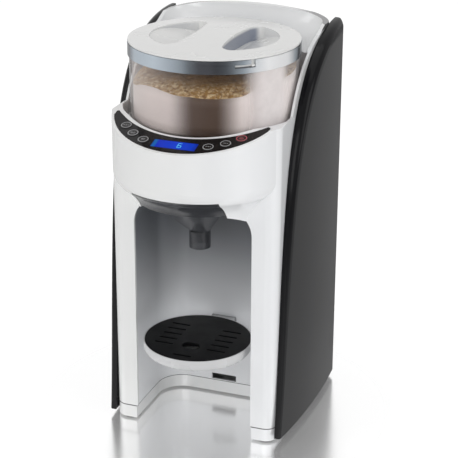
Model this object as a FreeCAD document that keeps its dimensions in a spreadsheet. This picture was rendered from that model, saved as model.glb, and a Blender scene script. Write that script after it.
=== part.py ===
import FreeCAD, Part
import math
import os
import Sketcher
from FreeCAD import Placement, Rotation, Vector

# Countertop baby formula maker.  Every sub-part is drawn about the powder
# container's vertical axis, front towards -Y, floor at Z = 0, and is then
# shifted along Y so that the origin is the centre of the footprint.

doc = FreeCAD.newDocument("FormulaMaker")
dim = doc.addObject("Spreadsheet::Sheet", "dim")

SIZES = (
    # casing
    ("body_half", 77.5, "half width of the white casing, and radius of its round front"),
    ("drum_back", 30.5, "how far the round front's axis lies in front of the container's"),
    ("leg_front", 55, "front face of the two legs"),
    ("leg_corner", 11, "outer corner of a leg"),
    ("casing_rear", 98, "open rear edge of the casing"),
    ("wall", 3, "moulded wall of the casing"),
    ("foot_gap", 2, "height of the base above the floor"),
    ("base_height", 12, "height of the base tray"),
    ("seam", 0.3, "gap between pieces that lie side by side"),
    ("shoulder_height", 296, "flat top of the casing beside the container"),
    ("deck_height", 303, "height of the tilted deck plane above the round front's axis"),
    ("deck_tilt", 14.6, "tilt of the control panel, degrees"),
    ("deck_wall", 6, "thickness of the deck under the control panel"),
    ("chin_height", 240, "lower edge of the round front"),
    ("chin_inset", 23, "how far the chin sweeps in"),
    ("chin_drop", 38, "height of the chin's cove below its edge"),
    ("chin_rise", 8, "height above the chin's edge where its rounding starts"),
    ("chin_round", 15, "radius of the chin's rounding"),
    # bottle recess
    ("recess_half", 55, "half width of the bottle recess at its front lip"),
    ("recess_top", 222, "ceiling of the bottle recess"),
    ("recess_corner", 25, "arched top corners of the bottle recess"),
    ("recess_back", 21, "rear wall of the bottle recess"),
    ("recess_bend", 24, "rear vertical corners of the bottle recess"),
    ("liner_wall", 2, "wall of the recess liner"),
    ("lip_depth", 3.6, "depth of the lip that covers the liner's edge"),
    # side panels and hood
    ("panel_inner", 77.8, "inner face of a side panel"),
    ("panel_outer", 89.5, "widest point of a side panel"),
    ("panel_bulge", 740, "radius of a side panel's bowed face"),
    ("panel_bulge_at", 42, "where along Y a side panel is widest"),
    ("panel_foot", 6, "lower edge of a side panel"),
    ("panel_toe", 54, "front edge of a side panel at its foot"),
    ("panel_bend", 33, "front edge of a side panel where it starts to lean back"),
    ("panel_bend_height", 218, "height of that point"),
    ("panel_neck", 3, "front edge of a side panel half way round its shoulder"),
    ("panel_neck_height", 304, "height of that point"),
    ("panel_brow", 62, "where a side panel's top edge levels out"),
    ("panel_brow_height", 351, "height of that point"),
    ("panel_rear", 103, "rear edge of a side panel"),
    ("panel_top", 357, "top of a side panel at its rear edge"),
    ("panel_skin", 3, "wall of a side panel"),
    ("panel_round_low", 2.5, "rounding of a side panel's outer edge at its toe"),
    ("panel_round_high", 7, "rounding of that edge at its top"),
    ("hood_lead", 9, "how far the hood shows in front of a side panel's edge"),
    ("hood_rear", 100.8, "rear face of the hood and rear cover"),
    ("hood_top", 365, "rim of the hood"),
    ("hood_rim", 6, "width of the hood's rim strip"),
    ("hood_side_drop", 8, "how far the hood's rim drops to its sides"),
    # powder container
    ("well_radius", 80.5, "well in the casing around the container"),
    ("well_half", 75.3, "half width of the well between the casing's side walls"),
    ("well_floor", 284.5, "floor of the well"),
    ("bowl_radius", 74, "outside of the powder container"),
    ("bowl_wall", 2.4, "wall of the powder container"),
    ("bowl_step", 285, "underside of the container's wide upper part"),
    ("neck_radius", 66, "outside of the container's narrow lower part"),
    ("pan_floor", 256, "underside of the seat pan"),
    ("pan_wall", 3, "floor thickness of the seat pan"),
    ("collar_radius", 75.4, "outside of the container's collar"),
    ("collar_foot", 342.8, "lower edge of the collar"),
    ("collar_top", 353.9, "upper edge of the collar"),
    ("lid_radius", 75, "outside of the lid's top"),
    ("lid_rim", 1.6, "thickness of the lid's edge"),
    ("lid_crown", 3, "how far the lid is domed"),
    # powder drive
    ("wheel_height", 13, "height of the measuring wheel"),
    ("wheel_pockets", 8, "number of powder pockets"),
    ("shaft_radius", 4.95, "drive shaft"),
    ("shaft_clearance", 0.05, "radial running clearance of the drive shaft"),
    ("gear_module", 1, "module of the drive gear and pinion"),
    ("gear_teeth", 40, "teeth on the drive gear"),
    ("pinion_teeth", 12, "teeth on the motor pinion"),
    ("gear_height", 8, "face width of the gears"),
    # funnel
    ("notch_half", 39.5, "half width of the notch that the funnel fills"),
    ("spout_radius", 9.5, "outside of the funnel's spout"),
    ("spout_back", 36, "spout's axis in front of the container's axis"),
    ("spout_foot", 175, "lower end of the funnel's spout"),
    ("spout_top", 191, "where the funnel's hopper meets its spout"),
    ("funnel_wall", 1.8, "wall of the funnel"),
    # drip tray
    ("tray_radius", 49, "outside of the drip tray"),
    ("tray_back", 42, "tray's centre in front of the container's axis"),
    ("tray_top", 88, "rim of the drip tray"),
    ("tray_depth", 11.5, "height of the drip tray"),
    ("grid_thick", 3, "thickness of the tray's grid"),
    ("hook_pitch", 31, "spacing of the tray's height slots"),
    ("hook_low", 18, "height of the lowest slot"),
    # water tank
    ("tank_front", 103.8, "front face of the water tank"),
    ("tank_rear", 148, "rearmost point of the water tank"),
    ("tank_half", 62, "half width of the water tank"),
    ("tank_foot", 24, "underside of the water tank"),
    ("tank_top", 322, "top of the water tank's wall"),
    ("tank_wall", 2.2, "wall of the water tank"),
    # controls
    ("crescent_radius", 74.3, "outer edge of the control panel"),
    ("crescent_back", 2.7, "its centre in front of the deck's own origin"),
    ("crescent_inner", 88, "inner edge of the control panel"),
    ("crescent_rise", 34.1, "its centre behind the deck's own origin"),
    ("crescent_half", 69.5, "half width of the control panel at its blunt ends"),
    ("panel_thick", 3, "thickness of the control panel"),
    ("button_radius", 5, "radius of a button"),
    ("button_ring", 66.5, "circle on which the buttons lie"),
    ("button_first", 25.8, "angle of the innermost button, degrees"),
    ("button_pitch", 12.7, "angle between buttons, degrees"),
    ("button_proud", 0.6, "how far a button stands out of the panel"),
    ("button_bevel", 0.4, "bevel round a button's cap"),
    ("display_width", 39, "width of the display window"),
    ("display_depth", 10.8, "depth of the display window"),
    ("display_at", 65.1, "centre of the display in front of the deck's own origin"),
    ("lens_thick", 1.4, "thickness of the display window"),
    # fasteners, feet and gland
    ("boss_radius", 4.5, "screw boss"),
    ("boss_height", 26, "height of the casing's bosses for the base's screws"),
    ("boss_depth", 15, "length of the casing's bosses for the rear screws"),
    ("thread_hole", 1.9, "hole that a screw cuts its thread in"),
    ("shank_radius", 1.8, "shank of a screw"),
    ("head_radius", 3.4, "head of a screw"),
    ("foot_radius", 8, "rubber foot"),
    ("gland_inset", 9.6, "gland's axis in from the casing's side"),
    ("gland_height", 30, "height of the gland's axis"),
    ("gland_radius", 5, "neck of the cord gland"),
    ("gland_flange", 6.2, "flanges of the cord gland"),
    ("gland_bore", 3, "hole of the cord gland"),
)

for row, (name, value, note) in enumerate(SIZES, start=1):
    dim.set("A%d" % row, name)
    dim.set("B%d" % row, str(value))
    dim.set("C%d" % row, note)
    dim.setAlias("B%d" % row, name)
doc.recompute()

ACROSS = ("-dim.panel_outer", "2 * dim.panel_outer")
FRAME_SHIFT = "(dim.drum_back + dim.body_half - dim.tank_rear) / 2"
HOUSING_FOOT = "dim.foot_gap + dim.base_height + dim.seam"
BASE_TOP = "dim.foot_gap + dim.base_height"
reader = doc.addObject("App::FeaturePython", "reader")
nodes = {}
ORIGIN_PLANES = {"XY": "XY_Plane", "XZ": "XZ_Plane", "YZ": "YZ_Plane"}


def real(formula):
    """The number that a formula of the sheet's sizes gives."""
    return float(reader.evalExpression(str(formula)))


def register(name, item, shifted=True):
    """Name a finished sub-part and move it into the shared frame."""
    item.Label = name
    if shifted:
        item.setExpression("Placement.Base.y", FRAME_SHIFT)
    nodes[name] = item
    return item


def new_body(name):
    return register(name, doc.addObject("PartDesign::Body", name))


def add_edges(outline, corners):
    """Lines and minor arcs through corners (x, y) or (x, y, radius, turn)."""
    places = [Vector(real(c[0]), real(c[1]), 0) for c in corners]
    ends = []
    for index, corner in enumerate(corners):
        start = places[index]
        stop = places[(index + 1) % len(corners)]
        if len(corner) == 2:
            edge = outline.addGeometry(Part.LineSegment(start, stop), False)
            ends.append((edge, 1, 2))
            continue
        radius = real(corner[2])
        turn = corner[3]
        chord = stop.sub(start)
        rise = math.sqrt(max(radius ** 2 - chord.Length ** 2 / 4, 0))
        left = Vector(-chord.y, chord.x, 0).normalize()
        centre = start.add(chord.multiply(0.5)).add(left.multiply(turn * rise))
        first, last = (start, stop) if turn > 0 else (stop, start)
        circle = Part.Circle(centre, Vector(0, 0, 1), radius)
        angles = [math.atan2(p.y - centre.y, p.x - centre.x) for p in (first, last)]
        edge = outline.addGeometry(Part.ArcOfCircle(circle, angles[0], angles[1]), False)
        ends.append((edge, 1, 2) if turn > 0 else (edge, 2, 1))
        bind(outline, Sketcher.Constraint("Radius", edge, radius), corner[2])
    for index, (edge, first, last) in enumerate(ends):
        following = ends[(index + 1) % len(ends)]
        outline.addConstraint(Sketcher.Constraint("Coincident", edge, last, following[0], following[1]))
        spot = places[index]
        bind(outline, Sketcher.Constraint("DistanceX", -1, 1, edge, first, spot.x), corners[index][0])
        bind(outline, Sketcher.Constraint("DistanceY", -1, 1, edge, first, spot.y), corners[index][1])


def bind(outline, constraint, formula):
    number = outline.addConstraint(constraint)
    if "dim." in str(formula):
        outline.setExpression("Constraints[%d]" % number, str(formula))


def add_circle(outline, x, y, radius):
    edge = outline.addGeometry(Part.Circle(Vector(real(x), real(y), 0), Vector(0, 0, 1), real(radius)), False)
    bind(outline, Sketcher.Constraint("Radius", edge, real(radius)), radius)
    bind(outline, Sketcher.Constraint("DistanceX", -1, 1, edge, 3, real(x)), x)
    bind(outline, Sketcher.Constraint("DistanceY", -1, 1, edge, 3, real(y)), y)


def sketch(part, plane, loops=(), circles=(), lift="0", deck=None):
    """A sketch on an origin plane, lifted along its normal, or on the tilted deck."""
    outline = part.newObject("Sketcher::SketchObject", part.Name + "_outline")
    support = [f for f in part.Origin.OriginFeatures if f.Role == ORIGIN_PLANES[plane]][0]
    outline.AttachmentSupport = [(support, "")]
    outline.MapMode = "FlatFace"
    if deck is None:
        outline.AttachmentOffset = Placement(Vector(0, 0, real(lift)), Rotation())
        outline.setExpression("AttachmentOffset.Base.z", str(lift))
    else:
        outline.AttachmentOffset = Placement(Vector(0, 0, 0), Rotation(Vector(1, 0, 0), 1))
        outline.setExpression("AttachmentOffset.Rotation.Angle", "dim.deck_tilt")
        outline.setExpression("AttachmentOffset.Base.y", "-dim.drum_back - (%s) * sin(dim.deck_tilt)" % deck)
        outline.setExpression("AttachmentOffset.Base.z", "dim.deck_height + (%s) * cos(dim.deck_tilt)" % deck)
    for corners in loops:
        add_edges(outline, corners)
    for x, y, radius in circles:
        add_circle(outline, x, y, radius)
    return outline


def pad(part, outline, length, both=False, down=False):
    feature = part.newObject("PartDesign::Pad", part.Name + "_pad")
    feature.Profile = outline
    feature.SideType = "Symmetric" if both else "One side"
    feature.Reversed = down
    feature.setExpression("Length", str(length))
    doc.recompute()
    return feature


def pocket(part, outline, length=None, both=False, up=False):
    """Cut downwards from the sketch, upwards, both ways, or through all."""
    feature = part.newObject("PartDesign::Pocket", part.Name + "_pocket")
    feature.Profile = outline
    feature.SideType = "Symmetric" if both else "One side"
    feature.Reversed = up
    if length is None:
        feature.Type = "ThroughAll"
    else:
        feature.setExpression("Length", str(length))
    doc.recompute()
    return feature


def turned(part, outline, cut=False):
    """Revolve a sketch about its own vertical axis, as added or cut material."""
    kind = "PartDesign::Groove" if cut else "PartDesign::Revolution"
    feature = part.newObject(kind, part.Name + "_turned")
    feature.Profile = outline
    feature.ReferenceAxis = (outline, ["V_Axis"])
    feature.Angle = 360
    doc.recompute()
    return feature


def bevel_edges(part, chosen, radius):
    """Bevel the edges of the body's tip that a test picks out."""
    tip = part.Tip
    names = ["Edge%d" % (i + 1) for i, edge in enumerate(tip.Shape.Edges) if chosen(edge)]
    feature = part.newObject("PartDesign::Chamfer", part.Name + "_bevel")
    feature.Base = (tip, names)
    feature.setExpression("Size", str(radius))
    doc.recompute()
    return feature


def repeated(part, feature, count, angle="360"):
    """Polar pattern of a feature about the body's vertical axis."""
    pattern = part.newObject("PartDesign::PolarPattern", part.Name + "_pattern")
    pattern.Originals = [feature]
    axis = [f for f in part.Origin.OriginFeatures if f.Role == "Z_Axis"][0]
    pattern.Axis = (axis, [""])
    pattern.setExpression("Angle", angle)
    pattern.setExpression("Occurrences", str(count))
    part.Tip = pattern
    doc.recompute()
    return pattern


def rectangle(x0, y0, x1, y1):
    return [(x0, y0), (x1, y0), (x1, y1), (x0, y1)]


def place(item, x="0", y="0", z="0"):
    for axis, formula in (("x", x), ("y", y), ("z", z)):
        item.setExpression("Placement.Base.%s" % axis, str(formula))
    return item


def block(x0, y0, z0, x1, y1, z1):
    """A box between two corners."""
    item = doc.addObject("Part::Box", "block")
    item.setExpression("Length", "(%s) - (%s)" % (x1, x0))
    item.setExpression("Width", "(%s) - (%s)" % (y1, y0))
    item.setExpression("Height", "(%s) - (%s)" % (z1, z0))
    return place(item, x0, y0, z0)


def post(x, y, z0, z1, radius):
    """An upright cylinder."""
    item = doc.addObject("Part::Cylinder", "post")
    item.setExpression("Radius", str(radius))
    item.setExpression("Height", "(%s) - (%s)" % (z1, z0))
    return place(item, x, y, z0)


def bar(x, y0, y1, z, radius):
    """A cylinder that lies along Y."""
    item = doc.addObject("Part::Cylinder", "bar")
    item.setExpression("Radius", str(radius))
    item.setExpression("Height", "(%s) - (%s)" % (y1, y0))
    item.Placement = Placement(Vector(0, 0, 0), Rotation(Vector(1, 0, 0), -90))
    return place(item, x, y0, z)


def joined(*pieces):
    item = doc.addObject("Part::MultiFuse", "joined")
    item.Shapes = list(pieces)
    return item


def cut(base, *tools):
    item = doc.addObject("Part::Cut", "cut")
    item.Base = base
    item.Tool = tools[0] if len(tools) == 1 else joined(*tools)
    return item


def grouped(name, solids):
    """Separate like solids that share one node."""
    item = doc.addObject("Part::Feature", name)
    item.Shape = Part.makeCompound(solids)
    return register(name, item)


# ---------------------------------------------------------------- casing

COVE_FOOT = "(dim.chin_height - dim.chin_drop)"
CHIN_TOP = "(dim.chin_height + dim.chin_rise)"
CHIN_TURN = "(2 * atan(dim.chin_inset / (dim.chin_drop + dim.chin_rise)))"
CHIN_RADII = "((dim.chin_drop + dim.chin_rise) / sin(%s))" % CHIN_TURN
FOOT_PLACES = (("-66", "-42"), ("66", "-42"), ("-50", "126"), ("50", "126"))
SCREW_PLACES = (("-66", "-24"), ("66", "-24"), ("-66", "84"), ("66", "84"))
REAR_SCREWS = (("-70.5", "60"), ("70.5", "60"), ("-70.5", "270"), ("70.5", "270"))
SOCKET_AT = "(dim.tank_front + 22)"
HOSE_LEVEL = "(dim.foot_gap + 7.5)"


def casing_plan(inset, rear):
    """Plan of the casing behind its round front, drawn inwards by inset."""
    half = "dim.body_half - (%s)" % inset
    front = "-dim.leg_front + (%s)" % inset
    corner = "(dim.leg_corner - (%s))" % inset
    return [
        ("-(%s) + %s" % (half, corner), front),
        ("%s - %s" % (half, corner), front, corner, 1),
        (half, "%s + %s" % (front, corner)),
        (half, rear),
        ("-(%s)" % half, rear),
        ("-(%s)" % half, "%s + %s" % (front, corner), corner, 1),
    ]


def arch(half, top, corner):
    """Front view of the bottle recess: straight sides and arched corners."""
    return [
        ("-(%s)" % half, "0"),
        (half, "0"),
        (half, "%s - (%s)" % (top, corner), corner, 1),
        ("%s - (%s)" % (half, corner), top),
        ("-(%s) + (%s)" % (half, corner), top, corner, 1),
        ("-(%s)" % half, "%s - (%s)" % (top, corner)),
    ]


def head_profile(inset, top):
    """Half section of the round front: its wall rounds over and coves in to the legs."""
    rounding = "(dim.chin_round - (%s))" % inset
    cove = "(%s - dim.chin_round + (%s))" % (CHIN_RADII, inset)
    outside = "(dim.body_half - (%s))" % inset
    bend = "%s - %s * (1 - cos(%s))" % (outside, rounding, CHIN_TURN)
    bend_height = "%s - %s * sin(%s)" % (CHIN_TOP, rounding, CHIN_TURN)
    return [
        ("0", COVE_FOOT),
        ("%s - dim.chin_inset" % outside, COVE_FOOT, cove, -1),
        (bend, bend_height, rounding, 1),
        (outside, CHIN_TOP),
        (outside, top),
        ("0", top),
    ]


def well_plan(radius, half):
    """Plan of the container's well: a circle cut off at both sides."""
    reach = "sqrt((%s)^2 - (%s)^2)" % (radius, half)
    return [
        ("-(%s)" % half, "-" + reach, radius, 1),
        (half, "-" + reach),
        (half, reach, radius, 1),
        ("-(%s)" % half, reach),
    ]


def deck_height_at(y, depth="0"):
    """Height of the tilted deck, or of a plane parallel to it below."""
    slope = "(%s + dim.drum_back) * tan(dim.deck_tilt)" % y
    return "dim.deck_height + %s - (%s) / cos(dim.deck_tilt)" % (slope, depth)


def above_deck(depth, top):
    """Side view of all that lies above the deck line and the flat top behind it."""
    bend = "-dim.drum_back - (%s - (%s) + (%s) / cos(dim.deck_tilt)) / tan(dim.deck_tilt)"
    return [
        ("-150", deck_height_at("-150", depth)),
        (bend % ("dim.deck_height", top, "-(%s)" % depth), top),
        ("160", top),
        ("160", "480"),
        ("-150", "480"),
    ]


def crescent(grow, ends="0"):
    """The control panel's outline on the deck, grown by a margin."""
    half = "(dim.crescent_half + (%s) + (%s))" % (grow, ends)
    outer = "(dim.crescent_radius + (%s))" % grow
    inner = "(dim.crescent_inner - (%s))" % grow
    outer_end = "-dim.crescent_back - sqrt(%s^2 - %s^2)" % (outer, half)
    inner_end = "dim.crescent_rise - sqrt(%s^2 - %s^2)" % (inner, half)
    return [
        ("-" + half, outer_end, outer, 1),
        (half, outer_end),
        (half, inner_end, inner, -1),
        ("-" + half, inner_end),
    ]


def make_front_housing():
    """White shell: two legs, the round head over them and the deck on top."""
    part = doc.addObject("PartDesign::Body", "shell")
    outside = sketch(part, "XY", [casing_plan("0", "dim.casing_rear")], lift=HOUSING_FOOT)
    pad(part, outside, "dim.shoulder_height - (%s)" % HOUSING_FOOT)
    turned(part, sketch(part, "XZ", [head_profile("0", "dim.shoulder_height")], lift="dim.drum_back"))
    pocket(part, sketch(part, "YZ", [above_deck("0", "dim.shoulder_height")]), both=True)
    inside = "dim.well_floor - dim.wall"
    hollow = sketch(part, "XY", [casing_plan("dim.wall", "dim.casing_rear + 5")], lift="dim.foot_gap")
    pocket(part, hollow, "%s - dim.foot_gap" % inside, up=True)
    drum = sketch(part, "XZ", [head_profile("dim.wall", CHIN_TOP + " + 1")], lift="dim.drum_back")
    turned(part, drum, cut=True)
    head = sketch(part, "XY", circles=[("0", "-dim.drum_back", "dim.body_half - dim.wall")],
                  lift=CHIN_TOP)
    pocket(part, head, deck_height_at("-dim.drum_back - dim.body_half", "dim.deck_wall")
           + " - " + CHIN_TOP, up=True)
    mouth = sketch(part, "XZ", [arch("dim.recess_half", "dim.recess_top", "dim.recess_corner")],
                   lift="dim.leg_front - dim.lip_depth")
    pocket(part, mouth, "90", up=True)
    notch = rectangle("-dim.notch_half", COVE_FOOT + " - 2", "dim.notch_half", "dim.chin_height + dim.seam")
    pocket(part, sketch(part, "XZ", [notch], lift="dim.drum_back + 20"), "90", up=True)
    well = sketch(part, "XY", [well_plan("dim.well_radius", "dim.well_half")], lift="dim.well_floor")
    pocket(part, well, "40", up=True)
    hole = sketch(part, "XY", circles=[("0", "0", "dim.neck_radius + 4.5")], lift=inside + " - 2")
    pocket(part, hole, "20", up=True)
    seat = sketch(part, "XY", [crescent("dim.seam")], deck="-dim.panel_thick - 0.2")
    pocket(part, seat, "30", up=True)
    window = sketch(part, "XY", [crescent("-0.6", "-1.4")], deck="-dim.deck_wall - 8")
    pocket(part, window, "30", up=True)
    add_screw_bosses(part)
    ramp = prism("YZ", [ramp_section(inside)], *ACROSS)
    drum = post("0", "-dim.drum_back", "dim.chin_height", "dim.shoulder_height", "dim.body_half - dim.wall")
    return register("front_housing", cut(part, common(ramp, drum)))


def add_screw_bosses(part):
    """Bosses on the casing's side walls for the base's and the rear cover's screws."""
    wall_side = "dim.body_half - 1"
    columns = [(x, y, "dim.boss_radius") for x, y in SCREW_PLACES]
    pad(part, sketch(part, "XY", circles=columns, lift=HOUSING_FOOT), "dim.boss_height")
    webs = []
    for x, y in SCREW_PLACES:
        low, high = (x, wall_side) if float(x) > 0 else ("-(%s)" % wall_side, x)
        webs.append(rectangle(low, y + " - dim.wall / 2", high, y + " + dim.wall / 2"))
    pad(part, sketch(part, "XY", webs, lift=HOUSING_FOOT), "dim.boss_height")
    holes = [(x, y, "dim.thread_hole") for x, y in SCREW_PLACES]
    pocket(part, sketch(part, "XY", circles=holes, lift="dim.foot_gap"), "dim.boss_height + 4", up=True)
    blocks = []
    for x, z in REAR_SCREWS:
        low, high = x + " - dim.boss_radius", wall_side
        if float(x) < 0:
            low, high = "-(%s)" % wall_side, x + " + dim.boss_radius"
        blocks.append(rectangle(low, z + " - dim.boss_radius", high, z + " + dim.boss_radius"))
    pad(part, sketch(part, "XZ", blocks, lift="-dim.casing_rear"), "dim.boss_depth")
    rear_holes = [(x, z, "dim.thread_hole") for x, z in REAR_SCREWS]
    drilled = sketch(part, "XZ", circles=rear_holes, lift="-dim.casing_rear + dim.boss_depth - 2")
    pocket(part, drilled, "2 * dim.boss_depth")


def ramp_section(inside):
    """Side view of the room between the head's flat inner top and the deck."""
    low = CHIN_TOP + " + 1"
    front = "-dim.drum_back - 60"
    return [
        (front, low),
        ("-dim.leg_front + 4", low),
        ("-dim.leg_front + 4", inside),
        ("-dim.leg_front - 16", inside),
        (front, deck_height_at(front, "dim.deck_wall")),
    ]


LINER_HALF = "(dim.recess_half + 1)"
LINER_TOP = "(dim.recess_top + 1)"
LINER_REAR = "(dim.recess_back + dim.liner_wall)"
LINER_EDGE = "(-dim.leg_front + dim.lip_depth + dim.seam)"


def recess_plan(grow, front):
    """Plan of the bottle recess: open in front, round corners at the back."""
    half = "(%s + (%s))" % (LINER_HALF, grow)
    back = "(dim.recess_back + (%s))" % grow
    bend = "(dim.recess_bend + (%s))" % grow
    return [
        ("-" + half, front),
        (half, front),
        (half, "%s - %s" % (back, bend), bend, 1),
        ("%s - %s" % (half, bend), back),
        ("-%s + %s" % (half, bend), back, bend, 1),
        ("-" + half, "%s - %s" % (back, bend)),
    ]


def prism(plane, loops, lift, length):
    """A helper solid drawn on one origin plane and padded along its normal."""
    part = doc.addObject("PartDesign::Body", "prism")
    pad(part, sketch(part, plane, loops, lift=lift), length)
    return part


def common(first, second):
    item = doc.addObject("Part::MultiCommon", "common")
    item.Shapes = [first, second]
    return item


def recess_room(grow, front, foot):
    """Arched room of the recess: its plan and its front view in one."""
    half = "(%s + (%s))" % (LINER_HALF, grow)
    top = "(%s + (%s))" % (LINER_TOP, grow)
    corner = "(dim.recess_corner + 1 + (%s))" % grow
    plan = prism("XY", [recess_plan(grow, front)], foot, "260")
    view = prism("XZ", [arch(half, top, corner)], "-%s - 2" % LINER_REAR, "170")
    return common(plan, view)


def nose_plan():
    """Front part of the ceiling: it follows the round chin just inside its shell."""
    radius = "(dim.body_half - dim.chin_inset - 3.4)"
    half = "sqrt(%s^2 - (%s + dim.drum_back)^2)" % (radius, LINER_EDGE)
    return [("-" + half, LINER_EDGE, radius, 1), (half, LINER_EDGE)]


def make_alcove_liner():
    """Grey moulding that lines the bottle recess, with slots for the tray's hooks."""
    shell = cut(recess_room("dim.liner_wall", "-100", HOUSING_FOOT), recess_room("0", "-120", "0"))
    chin_line = [
        ("-150", "0"),
        (LINER_EDGE, "0"),
        (LINER_EDGE, COVE_FOOT + " + dim.seam"),
        ("-dim.drum_back - 59.5", "dim.recess_top - 2"),
        ("-150", "dim.recess_top - 2"),
    ]
    below_chin = prism("YZ", [chin_line], *ACROSS)
    margin = [("-90", "-160"), ("90", "-160"), ("90", LINER_EDGE), ("-90", LINER_EDGE)]
    nose = cut(prism("XY", [margin], "0", "300"), prism("XY", [nose_plan()], "-1", "302"))
    above = "dim.recess_top + 20"
    gap = block("-dim.notch_half + 5.5", "-130", "dim.recess_top", "dim.notch_half - 5.5", "-10", above)
    front_gap = block("-dim.notch_half", "-130", "dim.recess_top - 40", "dim.notch_half", "-66", above)
    slots = [block("-10.4", "dim.recess_back - 5", "dim.hook_low - 3 + %d * dim.hook_pitch" % step,
                   "13.9", "dim.recess_back + 9", "dim.hook_low + 3 + %d * dim.hook_pitch" % step)
             for step in range(3)]
    return register("alcove_liner", cut(shell, below_chin, nose, gap, front_gap, *slots))


def base_plan(inset, grow):
    """Plan of the base: the casing's legs and sides, and the ledge under the tank."""
    half = "(dim.body_half - (%s))" % inset
    front = "(-dim.leg_front + (%s))" % inset
    corner = "(dim.leg_corner - (%s))" % inset
    inner = "(%s + (%s))" % (LINER_HALF, grow)
    back = "(dim.recess_back + (%s))" % grow
    bend = "(dim.recess_bend + (%s))" % grow
    ledge = "(dim.tank_half - (%s))" % inset
    ledge_bend = "(dim.leg_corner * 2 - (%s))" % inset
    rear = "(dim.hood_rear - (%s))" % inset
    end = "(dim.tank_rear - (%s))" % inset
    return [
        ("-" + inner, front),
        ("-" + inner, "%s - %s" % (back, bend), bend, -1),
        ("-%s + %s" % (inner, bend), back),
        ("%s - %s" % (inner, bend), back, bend, -1),
        (inner, "%s - %s" % (back, bend)),
        (inner, front),
        ("%s - %s" % (half, corner), front, corner, 1),
        (half, "%s + %s" % (front, corner)),
        (half, rear),
        (ledge, rear),
        (ledge, "%s - %s" % (end, ledge_bend), ledge_bend, 1),
        ("%s - %s" % (ledge, ledge_bend), end),
        ("-%s + %s" % (ledge, ledge_bend), end, ledge_bend, 1),
        ("-" + ledge, "%s - %s" % (end, ledge_bend)),
        ("-" + ledge, rear),
        ("-" + half, rear),
        ("-" + half, "%s + %s" % (front, corner), corner, 1),
        ("-%s + %s" % (half, corner), front),
    ]


def make_base():
    """White tray that closes the casing from below and carries the tank."""
    part = new_body("base")
    pad(part, sketch(part, "XY", [base_plan("0", "0")], lift="dim.foot_gap"), "dim.base_height")
    inner = sketch(part, "XY", [base_plan("dim.wall", "dim.wall")], lift=BASE_TOP)
    pocket(part, inner, "dim.base_height - dim.wall")
    bosses = sketch(part, "XY", circles=[(x, y, "dim.boss_radius") for x, y in SCREW_PLACES],
                    lift="dim.foot_gap + 1")
    pad(part, bosses, "dim.base_height - 1")
    holes = sketch(part, "XY", circles=[(x, y, "dim.shank_radius + 0.2") for x, y in SCREW_PLACES], lift="0")
    pocket(part, holes, "40", up=True)
    heads = sketch(part, "XY", circles=[(x, y, "dim.head_radius + 0.2") for x, y in SCREW_PLACES], lift="0")
    pocket(part, heads, "dim.foot_gap + 4", up=True)
    feet = sketch(part, "XY", circles=[(x, y, "dim.foot_radius + 0.2") for x, y in FOOT_PLACES], lift="0")
    pocket(part, feet, "dim.foot_gap + 1", up=True)
    return part


def make_tank_dock():
    """Raised cover over the base's rear ledge, with the socket the tank stands on."""
    part = new_body("tank_dock")
    half = "dim.tank_half"
    front = "dim.hood_rear + dim.seam"
    bend = "dim.leg_corner * 2"
    plan = [
        ("-" + half, front),
        (half, front),
        (half, "dim.tank_rear - " + bend, bend, 1),
        ("%s - %s" % (half, bend), "dim.tank_rear"),
        ("-%s + %s" % (half, bend), "dim.tank_rear", bend, 1),
        ("-" + half, "dim.tank_rear - " + bend),
    ]
    pad(part, sketch(part, "XY", [plan], lift=HOUSING_FOOT), "dim.tank_foot - dim.seam - (%s)" % HOUSING_FOOT)
    hollow = rectangle("-dim.tank_half + 12", front + " + 3", "dim.tank_half - 12", "dim.tank_rear - 6")
    pocket(part, sketch(part, "XY", [hollow], lift="0"), "dim.tank_foot - dim.wall", up=True)
    cup = sketch(part, "XY", circles=[("0", SOCKET_AT, "11")], lift="dim.tank_foot - dim.seam - 8")
    pad(part, cup, "7")
    pocket(part, sketch(part, "XY", circles=[("0", SOCKET_AT, "9")], lift="dim.tank_foot - 6"), "20", up=True)
    pin = sketch(part, "XY", circles=[("0", SOCKET_AT, "2")], lift="dim.tank_foot - 7")
    pad(part, pin, "3")
    stub = sketch(part, "XY", circles=[("0", SOCKET_AT, "4.5")], lift="dim.foot_gap + 4")
    pad(part, stub, "dim.tank_foot - dim.foot_gap - 12")
    nipple = sketch(part, "XZ", circles=[("0", HOSE_LEVEL, "2.5")], lift="-" + SOCKET_AT)
    pad(part, nipple, "9")
    return part


def make_rubber_feet():
    discs = []
    for x, y in FOOT_PLACES:
        disc = Part.makeCylinder(real("dim.foot_radius"), real("dim.foot_gap + 1 - 0.1"),
                                 Vector(real(x), real(y), 0))
        discs.append(disc.makeChamfer(0.8, [e for e in disc.Edges if e.CenterOfMass.z < 0.1 and e.Closed]))
    return grouped("rubber_feet", discs)


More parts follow.
